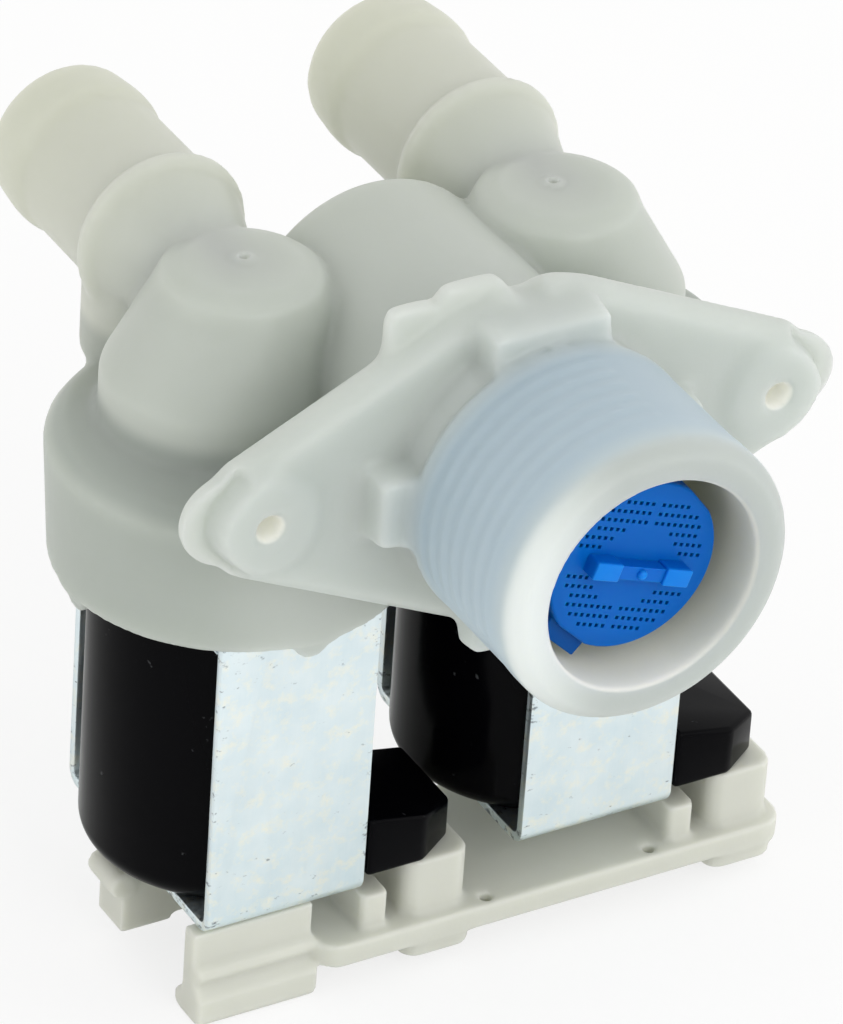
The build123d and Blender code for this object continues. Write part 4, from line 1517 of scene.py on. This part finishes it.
@dataclass
class Studio:
    """Pale floor, soft light from large lamps, and the camera at the photograph's angle."""

    floor_size_m: float = 6.0
    floor_colour: str = "#FDFDFC"
    floor_roughness: float = 0.9
    floor_lift: float = 0.75
    sky_light: float = 0.8
    lamps: tuple[Lamp, ...] = (
        Lamp("key_lamp", (0.1, -1.05, 0.65), 0.7, 3.8),
        Lamp("fill_lamp", (0.9, -0.5, 0.4), 0.9, 1.8),
        Lamp("rim_lamp", (-1.0, 0.2, 0.4), 0.8, 1.2),
    )
    camera_place_mm: tuple[float, float, float] = (-282.18, -440.12, 340.10)
    azimuth: float = -31.762
    elevation: float = 33.512
    roll: float = 4.074
    lens_mm: float = 265.58
    nearest_m: float = 0.01

    def build(self, floor_z: float) -> None:
        """Set up everything round the valve.

        Args:
            floor_z: Height of the valve's lowest point, in metres.
        """
        self.floor(floor_z)
        self.sky()
        for lamp in self.lamps:
            lamp.hang()
        self.camera()
        bpy.context.scene.view_settings.view_transform = "Standard"

    def floor(self, height: float) -> None:
        """Lay a paper floor that keeps the shadow and looks nearly white to the camera.

        Args:
            height: Its height in metres.
        """
        bpy.ops.object.select_all(action="DESELECT")
        bpy.ops.mesh.primitive_plane_add(size=self.floor_size_m, location=(0, 0, height))
        floor = bpy.context.object
        floor.name = "studio_floor"
        material, tree = start_material("matt_paper_backdrop")
        matt = {"Base Color": linear(self.floor_colour), "Roughness": self.floor_roughness}
        paper = add_node(tree, "ShaderNodeBsdfPrincipled", matt | {"Specular IOR Level": 0.0})
        white = add_node(tree, "ShaderNodeEmission", {"Strength": 1.0})
        path = add_node(tree, "ShaderNodeLightPath").outputs
        terms = {0: path["Is Camera Ray"], 1: self.floor_lift}
        seen = add_node(tree, "ShaderNodeMath", terms, operation="MULTIPLY").outputs[0]
        mix = add_node(tree, "ShaderNodeMixShader", {0: seen, 1: paper.outputs[0], 2: white.outputs[0]})
        add_node(tree, "ShaderNodeOutputMaterial", {"Surface": mix.outputs[0]})
        dress(floor, material)
        floor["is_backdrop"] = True

    def sky(self) -> None:
        """Light the room evenly and show the camera and reflections a white surround."""
        world = bpy.data.worlds.new("white_room")
        bpy.context.scene.world = world
        world.use_nodes = True
        tree = world.node_tree
        tree.nodes.clear()
        path = add_node(tree, "ShaderNodeLightPath").outputs
        seen = path["Is Camera Ray"]
        for other in ("Is Glossy Ray", "Is Transmission Ray"):
            terms = {0: seen, 1: path[other]}
            seen = add_node(tree, "ShaderNodeMath", terms, operation="ADD", use_clamp=True).outputs[0]
        white = (1.0, 1.0, 1.0, 1.0)
        light, surround = (
            add_node(tree, "ShaderNodeBackground", {"Color": white, "Strength": strength}).outputs[0]
            for strength in (self.sky_light, 1.0)
        )
        mix = add_node(tree, "ShaderNodeMixShader", {0: seen, 1: light, 2: surround})
        add_node(tree, "ShaderNodeOutputWorld", {"Surface": mix.outputs[0]})

    def camera(self) -> None:
        """Place the camera where the photograph was taken from."""
        turn, rise, tilt = (math.radians(a) for a in (self.azimuth, self.elevation, self.roll))
        back = Vector((math.sin(turn) * math.cos(rise), -math.cos(turn) * math.cos(rise), math.sin(rise)))
        level = Vector((math.cos(turn), math.sin(turn), 0))
        upward = back.cross(level)
        right = level * math.cos(tilt) + upward * math.sin(tilt)
        data = bpy.data.cameras.new("photo_camera")
        data.lens = self.lens_mm
        data.clip_start = self.nearest_m
        camera = bpy.data.objects.new("photo_camera", data)
        axes = Matrix((right, back.cross(right), back)).transposed().to_4x4()
        camera.matrix_world = Matrix.Translation(Vector(self.camera_place_mm) * MM) @ axes
        bpy.context.scene.collection.objects.link(camera)
        bpy.context.scene.camera = camera


INNER_FINISHES: Mapping[str, Stuff] = {
    "flow_washer": Stuff.RUBBER,
    "diaphragm": Stuff.RUBBER,
    "plunger_seal": Stuff.RUBBER,
    "pilot_disc": Stuff.INNER,
    "guide_tube": Stuff.INNER,
    "coil_bobbin": Stuff.INNER,
    "plunger": Stuff.STEEL,
    "plunger_spring": Stuff.STEEL,
    "upper_flux_sleeve": Stuff.ZINC,
    "lower_flux_sleeve": Stuff.ZINC,
    "coil_winding": Stuff.COPPER,
    "coil_terminals": Stuff.TIN,
}


def dress_inner_pieces(nodes: Mapping[str, bpy.types.Object]) -> None:
    """Give every inner CAD node of both valves its material.

    Args:
        nodes: The CAD nodes by name.
    """
    for side in SIDES:
        for stem, stuff in INNER_FINISHES.items():
            dress(nodes[f"{stem}_{side}"], stuff.build())
            LOG.info("dressed %s_%s as %s", stem, side, stuff.value.name)


def main() -> None:
    """Build the valve's looks around its frame, then the studio."""
    logging.basicConfig(level=logging.INFO)
    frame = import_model()
    cad_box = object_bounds()
    dress_inner_pieces(frame["nodes"])
    ValveMoulding(
        node="valve_body",
        name="valve_moulding",
        slot="natural_plastic",
        stuff=Stuff.BODY,
        voxel_mm=0.45,
        softening=6,
        triangle_limit=190_000,
    ).build()
    CarrierMoulding(
        node="terminal_carrier",
        name="carrier_moulding",
        slot="white_plastic",
        stuff=Stuff.CARRIER,
        voxel_mm=0.3,
        softening=4,
        triangle_limit=90_000,
    ).build()
    Strainer().build()
    for side in SIDES:
        CoilShell(side).build()
        for stem, name, edge_mm in (("yoke_frame", "yoke_strip", 0.15), ("yoke_plate", "yoke_top", 0.12)):
            SheetPiece(f"{stem}_{side}", f"{name}_{side}", "zinc_steel", Stuff.ZINC, edge_mm).build()
    Studio().build(cad_box[0].z)


if __name__ == "__main__":
    main()
